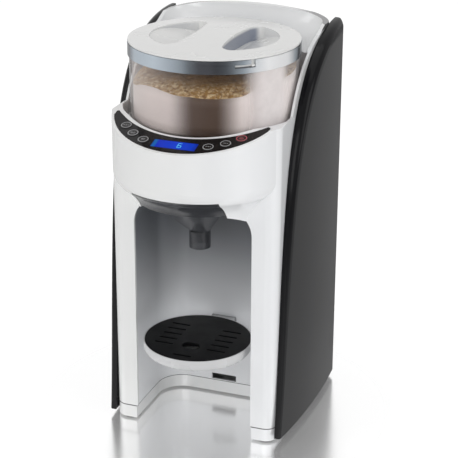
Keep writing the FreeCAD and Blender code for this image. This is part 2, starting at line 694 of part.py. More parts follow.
def make_side_panels():
    """Dark bowed cheeks, hollow behind, whose front edge leans back and rolls over."""
    part = doc.addObject("PartDesign::Body", "panel_blank")
    inner = "dim.panel_inner"
    outer = "dim.panel_outer - dim.panel_bulge + sqrt(dim.panel_bulge^2 - (%s - dim.panel_bulge_at)^2)"
    rear = "dim.panel_rear"
    plan = [
        (inner, "-dim.panel_toe"),
        (outer % "-dim.panel_toe", "-dim.panel_toe", "dim.panel_bulge", 1),
        (outer % "(dim.panel_rear - 6)", "dim.panel_rear - 6"),
        (outer % "(dim.panel_rear - 6)" + " - 5", rear),
        (inner, rear),
    ]
    pad(part, sketch(part, "XY", [plan], lift="dim.panel_foot"), "dim.panel_top + 5 - dim.panel_foot")
    room = [
        ("-dim.panel_toe + 24", "dim.panel_foot + 16"),
        ("dim.panel_rear - 12", "dim.panel_foot + 16"),
        ("dim.panel_rear - 12", "dim.panel_brow_height - 22"),
        ("dim.panel_brow - 4", "dim.panel_brow_height - 22"),
        ("dim.panel_neck + 14", "dim.panel_neck_height - 14"),
        ("-dim.panel_bend + 18", "dim.panel_bend_height"),
    ]
    depth = "7.5 + 1 - dim.panel_skin / 3"
    pocket(part, sketch(part, "YZ", [room], lift="dim.panel_inner - 1"), depth, up=True)
    edged = cut(part, above_panel_edge())
    doc.recompute()
    rounded = doc.addObject("Part::Fillet", "right_side_panel")
    rounded.Base = edged
    low, high = real("dim.panel_round_low"), real("dim.panel_round_high")
    for number, edge in enumerate(edged.Shape.Edges, start=1):
        if panel_rim(edge):
            toe_first = edge.valueAt(edge.FirstParameter).z < edge.valueAt(edge.LastParameter).z
            rounded.Edges = [(number, low, high) if toe_first else (number, high, low)]
    register("right_side_panel", rounded)
    register("left_side_panel", doc.addObject("Part::Mirroring", "left_side_panel"), shifted=False)
    nodes["left_side_panel"].Source = rounded
    nodes["left_side_panel"].Normal = (1, 0, 0)


def above_panel_edge():
    """All that lies in front of and above a panel's edge, which is one smooth curve."""
    toe, bend = "dim.panel_toe", "dim.panel_bend"
    neck, brow = "dim.panel_neck", "dim.panel_brow"
    bend_at, neck_at, brow_at = bend + "_height", neck + "_height", brow + "_height"
    corners = [
        ("-" + toe, "dim.panel_foot"),
        ("-(%s + %s) / 2 - 1" % (toe, bend), "(dim.panel_foot + %s) / 2" % bend_at),
        ("-" + bend, bend_at),
        ("-(%s + %s) / 2 - 5" % (bend, neck), "(%s + %s) / 2 + 1" % (bend_at, neck_at)),
        ("-" + neck, neck_at),
        ("(%s - %s) / 2 - 7" % (brow, neck), "(%s + %s) / 2 + 4.5" % (neck_at, brow_at)),
        (brow, brow_at),
        ("dim.panel_rear", "dim.panel_top"),
    ]
    reach = "dim.panel_rear + 40"
    beyond = [(reach, "dim.panel_top"), (reach, "430"), ("-140", "430"), ("-140", "dim.panel_foot")]
    spots = [Vector(0, real(y), real(z)) for y, z in corners + beyond]
    curve = Part.BSplineCurve()
    curve.interpolate(spots[:len(corners)])
    edge = Part.makePolygon(spots[len(corners) - 1:] + spots[:1])
    item = doc.addObject("Part::Extrusion", "above_panel_edge")
    item.Base = doc.addObject("Part::Feature", "edge_outline")
    item.Base.Shape = Part.Wire([curve.toShape()] + edge.Edges)
    item.Dir = (1, 0, 0)
    item.Solid = True
    item.setExpression("LengthFwd", "2 * dim.panel_outer")
    return item


def side_edge(lead):
    """Side view of the hood's front edge, from its toe up and over to its rear."""
    return [
        ("-dim.panel_neck - (%s)" % lead, "dim.panel_neck_height", "101.5", -1),
        ("dim.panel_brow - (%s) * 0.6" % lead, "dim.panel_brow_height", "194", -1),
    ]


def panel_rim(edge):
    """The long outer edge of a panel's front and top."""
    box = edge.BoundBox
    tall = box.ZLength > real("dim.panel_top") / 2
    return tall and box.XMin > real("dim.panel_inner + 3") and box.YMin < real("1 - dim.panel_toe")


# ---------------------------------------------------------------- hood and rear


def rounded_ring(half_x, half_y, power, level):
    """Closed curve between an ellipse and a rectangle about the container's axis."""
    spots = []
    for step in range(36):
        turn = math.radians(10 * step)
        across, along = abs(math.cos(turn) / real(half_x)), abs(math.sin(turn) / real(half_y))
        reach = (across ** power + along ** power) ** (-1 / power)
        spots.append(Vector(reach * math.cos(turn), reach * math.sin(turn), real(level)))
    curve = Part.BSplineCurve()
    curve.interpolate(spots, PeriodicFlag=True)
    return Part.Wire(curve.toShape())


def make_dish():
    """Hollow of the hood behind the lid: round at the well, squared along the rim."""
    low = rounded_ring("dim.well_half", "dim.well_radius", 2.3, "dim.collar_foot - 6")
    edge = "dim.hood_rear - dim.hood_rim"
    side = "dim.body_half - dim.hood_rim / 4"
    middle = rounded_ring(side, edge, 7, "dim.hood_top - dim.hood_side_drop")
    high = rounded_ring(side + " + 0.5", edge + " + 1", 8, "dim.hood_top + 6")
    return loft("dish", low, middle, high)


def loft(name, *rings):
    item = doc.addObject("Part::Feature", name)
    item.Shape = Part.makeLoft(list(rings), True, False)
    return item


def make_corner_round():
    """What the hood keeps: its foot whole, and rear corners that round off upward."""
    power, wider = 8, "1.15 * "
    low = rounded_ring(wider + "dim.body_half", wider + "dim.hood_rear", power, "dim.shoulder_height - 1")
    high = rounded_ring("dim.body_half + 0.1", "dim.hood_rear + 0.1", power, "dim.hood_top + 1")
    return loft("corner_round", low, high)


def make_hood():
    """White cover behind the container: its rim sweeps up from the shoulders."""
    part = doc.addObject("PartDesign::Body", "hood_blank")
    foot = "dim.shoulder_height + dim.seam"
    half = "dim.body_half"
    rear = "dim.hood_rear"
    front = "-dim.panel_neck - dim.hood_lead - 10"
    plan = [(("-" + half), front), (half, front), (half, rear), ("-" + half, rear)]
    pad(part, sketch(part, "XY", [plan], lift=foot), "dim.hood_top - (%s)" % foot)
    sweep = [("-60", "250"), (front, foot + " - 8")] + side_edge("dim.hood_lead") + [
        (rear, "dim.hood_top"),
        (rear, "420"),
        ("-60", "420"),
    ]
    pocket(part, sketch(part, "YZ", [sweep]), both=True)
    drop = "dim.hood_side_drop"
    bow = "((%s)^2 + %s^2) / (2 * %s)" % (half, drop, drop)
    crown = [
        ("-" + half, "dim.hood_top - " + drop, bow, -1),
        ("0", "dim.hood_top", bow, -1),
        (half, "dim.hood_top - " + drop),
        ("100", "dim.hood_top - " + drop),
        ("100", "440"),
        ("-100", "440"),
        ("-100", "dim.hood_top - " + drop),
    ]
    pocket(part, sketch(part, "XZ", [crown]), both=True)
    well = sketch(part, "XY", [well_plan("dim.well_radius", "dim.well_half")], lift="dim.well_floor")
    pocket(part, well, "120", up=True)
    reach = "(dim.well_radius + 2.6)"
    side = "(%s - 2.4)" % half
    back = "(%s - 2.6)" % rear
    room = [
        ("-" + side, back),
        ("-" + side, "sqrt(%s^2 - %s^2)" % (reach, side), reach, -1),
        (side, "sqrt(%s^2 - %s^2)" % (reach, side)),
        (side, back),
    ]
    pocket(part, sketch(part, "XY", [room], lift=foot), "dim.collar_foot - 14 - (%s)" % foot, up=True)
    rounded = doc.addObject("Part::Common", "hood_rounded")
    rounded.Base = cut(part, make_dish())
    rounded.Tool = make_corner_round()
    return register("hood", rounded)


def make_rear_cover():
    """White back plate with cooling slots, held by four screws."""
    part = new_body("rear_cover")
    foot = "(%s)" % HOUSING_FOOT
    top = "dim.shoulder_height"
    outline = rectangle("-dim.body_half", foot, "dim.body_half", top)
    rear = "dim.hood_rear"
    thick = "(dim.hood_rear - dim.casing_rear - dim.seam)"
    pad(part, sketch(part, "XZ", [outline], lift="-%s" % rear), thick)
    slits = [rectangle("-30", "220 + %d" % (7 * step), "30", "223 + %d" % (7 * step)) for step in range(8)]
    pocket(part, sketch(part, "XZ", slits, lift="-%s - 3" % rear), "20", up=True)
    holes = [(x, z, "dim.thread_hole") for x, z in REAR_SCREWS]
    pocket(part, sketch(part, "XZ", circles=holes, lift="-%s - 3" % rear), "20", up=True)
    gland = [("-dim.body_half + dim.gland_inset", "dim.gland_height", "dim.gland_radius + 0.2")]
    pocket(part, sketch(part, "XZ", circles=gland, lift="-%s - 3" % rear), "20", up=True)
    return part


def make_screws():
    """Base screws point up into the casing's bosses, rear screws point forward."""
    upright = []
    for x, y in SCREW_PLACES:
        spot = Vector(real(x), real(y), real("dim.foot_gap + 1.2"))
        head = Part.makeCylinder(real("dim.head_radius"), 2.6, spot)
        shank = Part.makeCylinder(real("dim.shank_radius"), 22, spot)
        upright.append(head.fuse(shank).removeSplitter())
    grouped("base_screws", upright)
    level = []
    for x, z in REAR_SCREWS:
        spot = Vector(real(x), real("dim.hood_rear + 2"), real(z))
        head = Part.makeCylinder(real("dim.head_radius"), 2, spot, Vector(0, -1, 0))
        shank = Part.makeCylinder(real("dim.shank_radius"), 14, spot, Vector(0, -1, 0))
        level.append(head.fuse(shank).removeSplitter())
    grouped("rear_screws", level)


def make_cord_gland():
    """Rubber bush where the mains lead passes the rear cover."""
    x = "-dim.body_half + dim.gland_inset"
    y = "dim.casing_rear - 3"
    z = "dim.gland_height"
    neck = bar(x, y, "dim.hood_rear + 4", z, "dim.gland_radius")
    outer = bar(x, "dim.hood_rear + 0.2", "dim.hood_rear + 3", z, "dim.gland_flange")
    inner = bar(x, y, "dim.casing_rear - 0.2", z, "dim.gland_flange")
    bore = bar(x, y + " - 1", "dim.hood_rear + 9", z, "dim.gland_bore")
    return register("cord_gland", cut(joined(neck, outer, inner), bore))


# ---------------------------------------------------------------- controls

BUTTONS = (
    ("button_left_outer", -3),
    ("button_left_middle", -2),
    ("button_left_inner", -1),
    ("button_right_inner", 1),
    ("button_right_middle", 2),
    ("button_right_outer", 3),
)


def button_spot(order):
    """Centre of a button in the deck's own plane."""
    side = "" if order > 0 else "-"
    angle = "(dim.button_first + %d * dim.button_pitch)" % (abs(order) - 1)
    return (side + "dim.button_ring * sin(%s)" % angle,
            "-dim.crescent_back - dim.button_ring * cos(%s)" % angle)


def display_outline(grow):
    half = "(dim.display_width / 2 + (%s))" % grow
    depth = "(dim.display_depth / 2 + (%s))" % grow
    return rectangle("-" + half, "-dim.display_at - " + depth, half, "-dim.display_at + " + depth)


def make_control_panel():
    part = new_body("control_panel")
    holes = [button_spot(order) + ("dim.button_radius + 0.25",) for name, order in BUTTONS]
    plate = sketch(part, "XY", [crescent("0"), display_outline("0.2")], holes, deck="-dim.panel_thick")
    pad(part, plate, "dim.panel_thick")
    bevel_edges(part, blunt_corner, "3")
    return part


def blunt_corner(edge):
    """The four upright edges at the control panel's blunt ends."""
    box = edge.BoundBox
    at_end = abs(edge.CenterOfMass.x) > real("dim.crescent_half") - 0.01
    upright = box.ZLength > 0.9 * real("dim.panel_thick") and box.XLength < 0.01
    return at_end and upright and edge.Length < 25


def make_buttons():
    for name, order in BUTTONS:
        part = new_body(name)
        x, y = button_spot(order)
        pad(part, sketch(part, "XY", circles=[(x, y, "dim.button_radius")], deck="-dim.panel_thick + 0.1"),
            "dim.panel_thick - 0.1 + dim.button_proud")
        rim = [edge for edge in part.Shape.Edges if edge.Closed]
        highest = max(edge.CenterOfMass.z for edge in rim)
        bevel_edges(part, lambda edge: edge.Closed and edge.CenterOfMass.z > highest - 0.01,
                    "dim.button_bevel")


def make_display():
    lens = new_body("display_window")
    pad(lens, sketch(lens, "XY", [display_outline("0")], deck="-dim.lens_thick"), "dim.lens_thick")
    module = new_body("display_module")
    face = sketch(module, "XY", [display_outline("-0.6")], deck="-dim.deck_wall - 1.5")
    pad(module, face, "dim.deck_wall - 0.2")


def make_keypad():
    """Silicone mat with a pillar under every button, and the board behind it."""
    mat = new_body("keypad_mat")
    sheet = sketch(mat, "XY", [crescent("-1.6", "-4"), display_outline("0.6")], deck="-dim.deck_wall - 1.5")
    pad(mat, sheet, "1.2")
    pillars = [button_spot(order) + ("2.2",) for name, order in BUTTONS]
    columns = sketch(mat, "XY", circles=pillars, deck="-dim.deck_wall - 1")
    pad(mat, columns, "dim.deck_wall - dim.panel_thick")
    board = new_body("control_board")
    pad(board, sketch(board, "XY", [crescent("-1.6", "-4")], deck="-dim.deck_wall - 3.4"), "1.6")


# ---------------------------------------------------------------- powder container


def make_seat_pan():
    """Grey pan under the well that carries the container and the drive."""
    part = new_body("seat_pan")
    floor = "dim.pan_floor"
    inner = "dim.neck_radius + 1.5"
    top = "dim.well_floor - dim.wall - 0.5"
    profile = [
        ("0", floor),
        (inner + " + 2", floor),
        (inner + " + 2", top + " - 2.5"),
        (inner + " + 6", top + " - 2.5"),
        (inner + " + 6", top),
        (inner, top),
        (inner, floor + " + dim.pan_wall"),
        ("0", floor + " + dim.pan_wall"),
    ]
    turned(part, sketch(part, "XZ", [profile]))
    bosses = [("18", GEAR_CENTRES, "3.5"), ("-18", GEAR_CENTRES, "3.5")]
    pad(part, sketch(part, "XY", circles=bosses, lift="dim.pan_floor - 12.5"), "13.5")
    pocket(part, sketch(part, "XY", circles=[("0", "0", "7.6")], lift=floor + " - 5"), "20", up=True)
    outlet = rectangle("-9", "-59", "9", "-41")
    pocket(part, sketch(part, "XY", [outlet], lift=floor + " - 5"), "20", up=True)
    return part


GEAR_CENTRES = "(dim.gear_module * (dim.gear_teeth + dim.pinion_teeth) / 2)"


def make_container_bowl():
    """Clear bowl: a wide upper part on a narrow neck, with the outlet in its floor."""
    part = new_body("container_bowl")
    foot = "dim.pan_floor + dim.pan_wall + dim.seam"
    wall = "dim.bowl_wall"
    step = "dim.bowl_step"
    inside = "dim.bowl_radius - " + wall
    top = "dim.collar_foot + 3.8"
    profile = [
        ("0", foot),
        ("dim.neck_radius", foot),
        ("dim.neck_radius", step),
        ("dim.bowl_radius - 1.5", step, "1.5", 1),
        ("dim.bowl_radius", step + " + 1.5"),
        ("dim.bowl_radius", "dim.collar_foot - 0.2"),
        ("dim.bowl_radius - 0.5", "dim.collar_foot - 0.2"),
        ("dim.bowl_radius - 0.5", top),
        (inside, top),
        (inside, "%s + %s + 2" % (step, wall)),
        ("dim.neck_radius - 2", "%s + %s" % (step, wall)),
        ("dim.neck_radius - 2", foot + " + 2.5"),
        ("0", foot + " + 2.5"),
    ]
    turned(part, sketch(part, "XZ", [profile]))
    bore = sketch(part, "XY", circles=[("0", "0", "8")], lift=foot + " - 2")
    pocket(part, bore, "10", up=True)
    outlet = rectangle("-8", "-58", "8", "-42")
    pocket(part, sketch(part, "XY", [outlet], lift=foot + " - 2"), "10", up=True)
    return part


LUG_ENTRY = -44
LUG_SWEEP = 11


def ring_sector(inner, outer, start, stop, z0, z1):
    """Part of a flat ring between two angles about the container's axis."""
    first = Vector(math.cos(math.radians(start)), math.sin(math.radians(start)), 0)
    middle = Vector(math.cos(math.radians((start + stop) / 2)), math.sin(math.radians((start + stop) / 2)), 0)
    last = Vector(math.cos(math.radians(stop)), math.sin(math.radians(stop)), 0)
    low = Vector(0, 0, z0)
    edges = [
        Part.Arc(first * outer + low, middle * outer + low, last * outer + low).toShape(),
        Part.makeLine(last * outer + low, last * inner + low),
        Part.Arc(last * inner + low, middle * inner + low, first * inner + low).toShape(),
        Part.makeLine(first * inner + low, first * outer + low),
    ]
    return Part.Face(Part.Wire(edges)).extrude(Vector(0, 0, z1 - z0))


def make_collar_ring():
    """Grey collar around the bowl's mouth, with three hooked slots for the lid's lugs."""
    foot = real("dim.collar_foot")
    top = real("dim.collar_top")
    outer = real("dim.collar_radius")
    inner = real("dim.bowl_radius - 0.5 + 0.05")
    ring = Part.makeCylinder(outer, top - foot, Vector(0, 0, foot)).cut(
        Part.makeCylinder(inner, top - foot, Vector(0, 0, foot)))
    for turn in range(3):
        entry = LUG_ENTRY + 120 * turn
        leg = ring_sector(inner - 5, outer + 5, entry - 1.4, entry + 1.4, foot + 4.6, top + 5)
        run = ring_sector(inner - 5, outer + 5, entry - LUG_SWEEP - 1.4, entry + 1.4, foot + 4.6, foot + 7.4)
        ring = ring.cut(leg.fuse(run))
    item = doc.addObject("Part::Feature", "collar_ring")
    item.Shape = ring.removeSplitter()
    return register("collar_ring", item)


# ---------------------------------------------------------------- powder drive

BOWL_FLOOR = "(dim.pan_floor + dim.pan_wall + dim.seam + 2.5)"
WHEEL_FOOT = "(%s + dim.seam)" % BOWL_FLOOR
WHEEL_TOP = "(%s + dim.wheel_height)" % WHEEL_FOOT
SCRAPER_FOOT = "(%s + dim.seam)" % WHEEL_TOP


def hexagon(radius):
    """Corners of a hexagon about the axis."""
    return [("%s * cos(%d)" % (radius, 60 * k), "%s * sin(%d)" % (radius, 60 * k)) for k in range(6)]


def make_measuring_wheel():
    """Dosing wheel: round pockets carry powder from under the stirrer to the outlet."""
    part = new_body("measuring_wheel")
    rim = "dim.neck_radius - 2.7"
    foot = WHEEL_FOOT
    profile = [
        ("0", foot + " - 2.6"),
        ("7.95", foot + " - 2.6"),
        ("7.95", foot),
        (rim, foot),
        (rim, WHEEL_TOP),
        ("9", WHEEL_TOP),
        ("9", SCRAPER_FOOT + " + 2"),
        ("0", SCRAPER_FOOT + " + 2"),
    ]
    turned(part, sketch(part, "XZ", [profile]))
    socket = sketch(part, "XY", [hexagon("5.9")], lift=foot + " - 4")
    pocket(part, socket, "dim.wheel_height - 1", up=True)
    slot = [
        ("-4", "30"),
        ("4", "30"),
        ("9", "56", "9.4", 1),
        ("-9", "56"),
    ]
    chamber = pocket(part, sketch(part, "XY", [slot], lift=foot + " - 4"), "40", up=True)
    repeated(part, chamber, "dim.wheel_pockets")
    return part


def make_powder_scraper():
    """Fixed plate over the wheel: it levels each pocket and covers the outlet."""
    foot = real(SCRAPER_FOOT)
    plate = Part.makeCylinder(real("dim.neck_radius - 2.1"), 2, Vector(0, 0, foot))
    plate = plate.cut(Part.makeCylinder(12, 4, Vector(0, 0, foot - 1)))
    for start in (-35, 55, 145):
        plate = plate.cut(ring_sector(18, 57, start, start + 80, foot - 1, foot + 3))
    item = doc.addObject("Part::Feature", "powder_scraper")
    item.Shape = plate
    return register("powder_scraper", item)


def make_stirring_wheel():
    """Four-armed stirrer that keeps the powder loose, seated on the wheel's hub."""
    part = new_body("stirring_wheel")
    foot = "(%s + 2.2)" % SCRAPER_FOOT
    pad(part, sketch(part, "XY", circles=[("0", "0", "9")], lift=foot), "13")
    arm = sketch(part, "XY", [rectangle("6", "-2.2", "dim.neck_radius - 6", "2.2")], lift=foot)
    repeated(part, pad(part, arm, "3"), "4")
    finger = sketch(part, "XY", circles=[("dim.neck_radius - 16", "0", "2.1")], lift=foot + " + 1")
    repeated(part, pad(part, finger, "18"), "4")
    return part


def gear_outline(teeth, shift):
    """Tooth by tooth outline of a spur gear with straight flanks."""
    module = real("dim.gear_module")
    pitch = module * teeth / 2
    half = (
        (pitch - 1.25 * module, 1.05 * module),
        (pitch, 0.68 * module),
        (pitch + 0.55 * module, 0.46 * module),
        (pitch + 0.95 * module, 0.26 * module),
    )
    points = []
    for tooth in range(teeth):
        middle = math.radians(shift) + 2 * math.pi * tooth / teeth
        flank = [(radius, math.asin(width / radius)) for radius, width in half]
        for radius, angle in flank:
            points.append(Vector(radius * math.cos(middle - angle), radius * math.sin(middle - angle), 0))
        for radius, angle in reversed(flank):
            points.append(Vector(radius * math.cos(middle + angle), radius * math.sin(middle + angle), 0))
    return Part.Face(Part.makePolygon(points + points[:1]))


def make_drive():
    """Output shaft with its six-sided dog, and the pair of spur gears."""
    gear_foot = real("dim.pan_floor - 11")
    height = real("dim.gear_height")
    bore = real("dim.shaft_radius + dim.shaft_clearance")
    wheel = gear_outline(int(real("dim.gear_teeth")), 180 / real("dim.gear_teeth"))
    gear = doc.addObject("Part::Feature", "drive_gear")
    solid = wheel.extrude(Vector(0, 0, height))
    web = Part.makeCylinder(16, height, Vector(0, 0, height - 2.5)).cut(Part.makeCylinder(8, height))
    solid = solid.cut(Part.makeCylinder(bore, height)).cut(web)
    gear.Shape = solid
    register("drive_gear", gear)
    gear.Placement.Base.z = gear_foot
    centre = real(GEAR_CENTRES)
    small = doc.addObject("Part::Feature", "motor_pinion")
    outline = gear_outline(int(real("dim.pinion_teeth")), 0)
    pinion = outline.extrude(Vector(0, 0, height))
    shaft = Part.makeCylinder(2, 16, Vector(0, 0, -6))
    small.Shape = pinion.fuse(shaft)
    register("motor_pinion", small, shifted=False)
    small.Placement = Placement(Vector(0, centre + real(FRAME_SHIFT), gear_foot), Rotation())
    hub = new_body("drive_hub")
    foot = "(dim.pan_floor - 12.5)"
    profile = [
        ("0", foot),
        ("7", foot),
        ("7", foot + " + 1.3"),
        ("dim.shaft_radius", foot + " + 1.3"),
        ("dim.shaft_radius", BOWL_FLOOR + " - 1"),
        ("0", BOWL_FLOOR + " - 1"),
    ]
    turned(hub, sketch(hub, "XZ", [profile]))
    pad(hub, sketch(hub, "XY", [hexagon("5.6")], lift=BOWL_FLOOR + " - 1.5"), "8")
    bush = new_body("drive_bush")
    rings = [("0", "0", "7.55"), ("0", "0", "dim.shaft_radius + dim.shaft_clearance")]
    pad(bush, sketch(bush, "XY", circles=rings, lift="dim.pan_floor - 0.5"), "dim.pan_wall + 0.4")


def make_drive_motor():
    """Flat geared motor that hangs from the seat pan's two bosses."""
    top = "(dim.pan_floor - 12.8)"
    y = GEAR_CENTRES
    can = joined(post("0", y, top + " - 16", top, "15"),
                 block("-22", y + " - 6", top + " - 1.6", "22", y + " + 6", top),
                 block("-7", y + " + 12", top + " - 14", "7", y + " + 17", top + " - 3"))
    return register("drive_motor", cut(can, post("0", y, top + " - 6", top + " + 1", "2.05")))


# ---------------------------------------------------------------- lid


def lid_recess(side, grow="0"):
    """Finger hollow on one side of the grip bar: steep at the bar, running out to the rim."""
    near = "(20 - (%s))" % grow
    far = "(43 + (%s))" % grow
    if side > 0:
        outline = [(near, "-34", "10 + (%s)" % grow, 1), ("31", "-" + far, "48.6 + (%s)" % grow, 1),
                   ("31", far, "10 + (%s)" % grow, 1), (near, "34", "240", 1)]
    else:
        outline = [("-" + near, "34", "10 + (%s)" % grow, 1), ("-31", far, "48.6 + (%s)" % grow, 1),
                   ("-31", "-" + far, "10 + (%s)" % grow, 1), ("-" + near, "-34", "240", 1)]
    floor = "dim.collar_top - 9 - (%s)" % grow
    sign = "" if side > 0 else "-"
    slope = [(sign + "10", floor), (sign + "23", floor), (sign + "60", "dim.collar_top + 3.2 - (%s)" % grow),
             (sign + "60", "400"), (sign + "10", "400")]
    return common(prism("XY", [outline], "dim.collar_foot", "60"), prism("XZ", [slope], "-80", "160"))


def make_lid():
    """Domed white lid with two finger hollows and three lugs for the collar's slots."""
    edge = "dim.collar_top + dim.seam"
    crown = "(%s + dim.lid_rim + dim.lid_crown)" % edge
    rim = "dim.lid_radius"
    dome = "(((%s)^2 + dim.lid_crown^2) / (2 * dim.lid_crown))" % rim
    plug = "dim.bowl_radius - dim.bowl_wall - 0.7"
    shell = doc.addObject("PartDesign::Body", "lid_shell")
    profile = [
        ("0", "dim.collar_foot"),
        (plug, "dim.collar_foot"),
        (plug, "dim.collar_foot + 5.4"),
        ("dim.bowl_radius - 0.9", "dim.collar_foot + 5.4"),
        ("dim.bowl_radius - 0.9", edge),
        (rim, edge),
        (rim, edge + " + dim.lid_rim", dome, 1),
        ("0", crown),
    ]
    turned(shell, sketch(shell, "XZ", [profile]))
    hollow = cut(post("0", "0", "dim.collar_foot - 1", edge + " - 0.7", plug + " - 2"),
                 lid_recess(1, "2"), lid_recess(-1, "2"))
    whole = cut(shell, lid_recess(1), lid_recess(-1), hollow)
    lugs = []
    for turn in range(3):
        entry = LUG_ENTRY + 120 * turn
        lug = doc.addObject("Part::Feature", "lug")
        outer = real("dim.collar_radius - 0.2")
        lug.Shape = ring_sector(real("dim.bowl_radius - 2"), outer, entry - 1.1, entry + 1.1,
                                real("dim.collar_foot + 5.4"), real("dim.collar_foot + 7.1"))
        lugs.append(lug)
    register("lid", joined(whole, *lugs))
    gasket = new_body("lid_gasket")
    ring = [("0", "0", "dim.bowl_radius - 0.9"), ("0", "0", "dim.bowl_radius - dim.bowl_wall - 0.5")]
    pad(gasket, sketch(gasket, "XY", circles=ring, lift="dim.collar_foot + 4"), "1.1")


# ---------------------------------------------------------------- funnel

FLANGE_FOOT = "(%s + dim.liner_wall + dim.seam)" % LINER_TOP


def hopper(inset, grow):
    """Loft from the funnel's wide oval mouth to its round spout."""
    part = doc.addObject("PartDesign::Body", "hopper")
    mouth = sketch(part, "XY", lift="%s + (%s)" % (FLANGE_FOOT, grow))
    throat = sketch(part, "XY", circles=[("0", "-dim.spout_back", "dim.spout_radius - (%s)" % inset)],
                    lift="dim.spout_top - (%s)" % grow)
    centre = Vector(0, real("-dim.spout_back - 16"), 0)
    front = centre + Vector(0, real("dim.notch_half - 1.5 - (%s)" % inset), 0)
    side = centre + Vector(real("dim.notch_half - 6.5 - (%s)" % inset), 0, 0)
    mouth.addGeometry(Part.Ellipse(front, side, centre), False)
    loft = part.newObject("PartDesign::AdditiveLoft", "loft")
    loft.Profile = mouth
    loft.Sections = [throat]
    doc.recompute()
    return part


def head_room(inset):
    """The round front's own form, drawn inwards by inset."""
    part = doc.addObject("PartDesign::Body", "head_room")
    turned(part, sketch(part, "XZ", [head_profile(inset, "dim.shoulder_height")], lift="dim.drum_back"))
    return part


def shovel(inset, front_foot, rear_foot, top):
    """Two-step tray behind the funnel's front, cut to the round front's form."""
    half = "(dim.notch_half - 0.6 - (%s))" % inset
    step = "(-70.5 - (%s))" % inset
    front = block("-" + half, "-130", front_foot, half, step, top)
    rear = block("-" + half, step, rear_foot, half, "-8 - (%s)" % inset, top)
    return common(joined(front, rear), head_room("dim.seam + (%s) * 1.3" % inset))


def make_funnel():
    """Dark funnel that slides out forward: its front continues the chin in the notch."""
    wall = "dim.funnel_wall"
    front_foot = "(dim.recess_top + 0.8)"
    spout = post("0", "-dim.spout_back", "dim.spout_foot", "dim.spout_top + 0.5", "dim.spout_radius")
    mouth_top = "dim.chin_height - dim.seam"
    outside = joined(shovel("0", front_foot, FLANGE_FOOT, mouth_top), hopper("0", "0"), spout)
    inner = "dim.spout_radius - " + wall
    bore = post("0", "-dim.spout_back", "dim.spout_foot - 2", "dim.spout_top + 3", inner)
    raised = " + " + wall
    inside = joined(shovel(wall, front_foot + raised, FLANGE_FOOT + raised, "dim.chin_height + 5"),
                    hopper(wall, wall + " + 0.1"), bore)
    return register("funnel", cut(outside, inside))


def make_water_spout():
    """Nozzle that drops hot water into the funnel, hung from the seat pan."""
    y = "-27"
    z = "dim.pan_floor - 8"
    body = joined(post("0", y, "dim.pan_floor - 15", "dim.pan_floor - dim.seam", "3.4"),
                  place_along_x("-5", "0", y, z, "2.4"))
    return register("water_spout", cut(body, post("0", y, "dim.pan_floor - 16", "dim.pan_floor - 6", "1.6")))


def place_along_x(x0, x1, y, z, radius):
    """A cylinder that lies along X."""
    item = doc.addObject("Part::Cylinder", "rod")
    item.setExpression("Radius", str(radius))
    item.setExpression("Height", "(%s) - (%s)" % (x1, x0))
    item.Placement = Placement(Vector(0, 0, 0), Rotation(Vector(0, 1, 0), 90))
    return place(item, x0, y, z)


# ---------------------------------------------------------------- drip tray


def make_drip_tray():
    """Shallow white dish on an arm that hooks into one of the liner's slots."""
    y = "-dim.tray_back"
    foot = "(dim.tray_top - dim.tray_depth)"
    dish = doc.addObject("PartDesign::Body", "dish")
    wall = "2"
    profile = [
        ("0", foot),
        ("dim.tray_radius - 6", foot, "6", 1),
        ("dim.tray_radius", foot + " + 6"),
        ("dim.tray_radius", "dim.tray_top"),
        ("dim.tray_radius - 0.7", "dim.tray_top"),
        ("dim.tray_radius - 0.7", "dim.tray_top - dim.grid_thick - 0.3"),
        ("dim.tray_radius - " + wall, "dim.tray_top - dim.grid_thick - 0.3"),
        ("dim.tray_radius - " + wall, foot + " + 6"),
        ("dim.tray_radius - 6", foot + " + " + wall),
        ("0", foot + " + " + wall),
    ]
    turned(dish, sketch(dish, "XZ", [profile], lift="dim.tray_back"))
    level = "dim.hook_low + 2 * dim.hook_pitch"
    arm = block("-9.8", y + " + dim.tray_radius - 2.2", level + " - 2.4",
                "13.3", LINER_REAR + " + 3", level + " + 2.4")
    hook_room = post("0", y, foot + " + " + wall, "dim.tray_top + 5", "dim.tray_radius - 1.5")
    return register("drip_tray", joined(dish, cut(arm, hook_room)))


def make_tray_grid():
    """Black grid on the dish: two columns of drain slots, a front slot and a finger hole."""
    part = new_body("tray_grid")
    y = "-dim.tray_back"
    disc = sketch(part, "XY", circles=[("0", y, "dim.tray_radius - 1")], lift="dim.tray_top - dim.grid_thick")
    pad(part, disc, "dim.grid_thick")
    rows = [drain_slot("-9", "9", y + " - 38.6")]
    for row in range(5):
        level = "%s - 20 + %d * 10.3" % (y, row)
        rows.append(drain_slot("15.5", "34", level))
        rows.append(drain_slot("-34", "-15.5", level))
    pocket(part, sketch(part, "XY", rows, lift="0"), up=True)
    finger = drain_slot("-9.5", "9.5", y + " - 17.5", "5.5")
    pocket(part, sketch(part, "XY", [finger], lift="0"), up=True)
    return part


def drain_slot(x0, x1, y, half="1.2"):
    """A slot along X with rounded ends."""
    turn = "(%s) * 1.04" % half
    low, high = "%s - %s" % (y, half), "%s + %s" % (y, half)
    return [("%s + %s" % (x0, half), low), ("%s - %s" % (x1, half), low, turn, 1),
            ("%s - %s" % (x1, half), high), ("%s + %s" % (x0, half), high, turn, 1)]


# ---------------------------------------------------------------- water tank


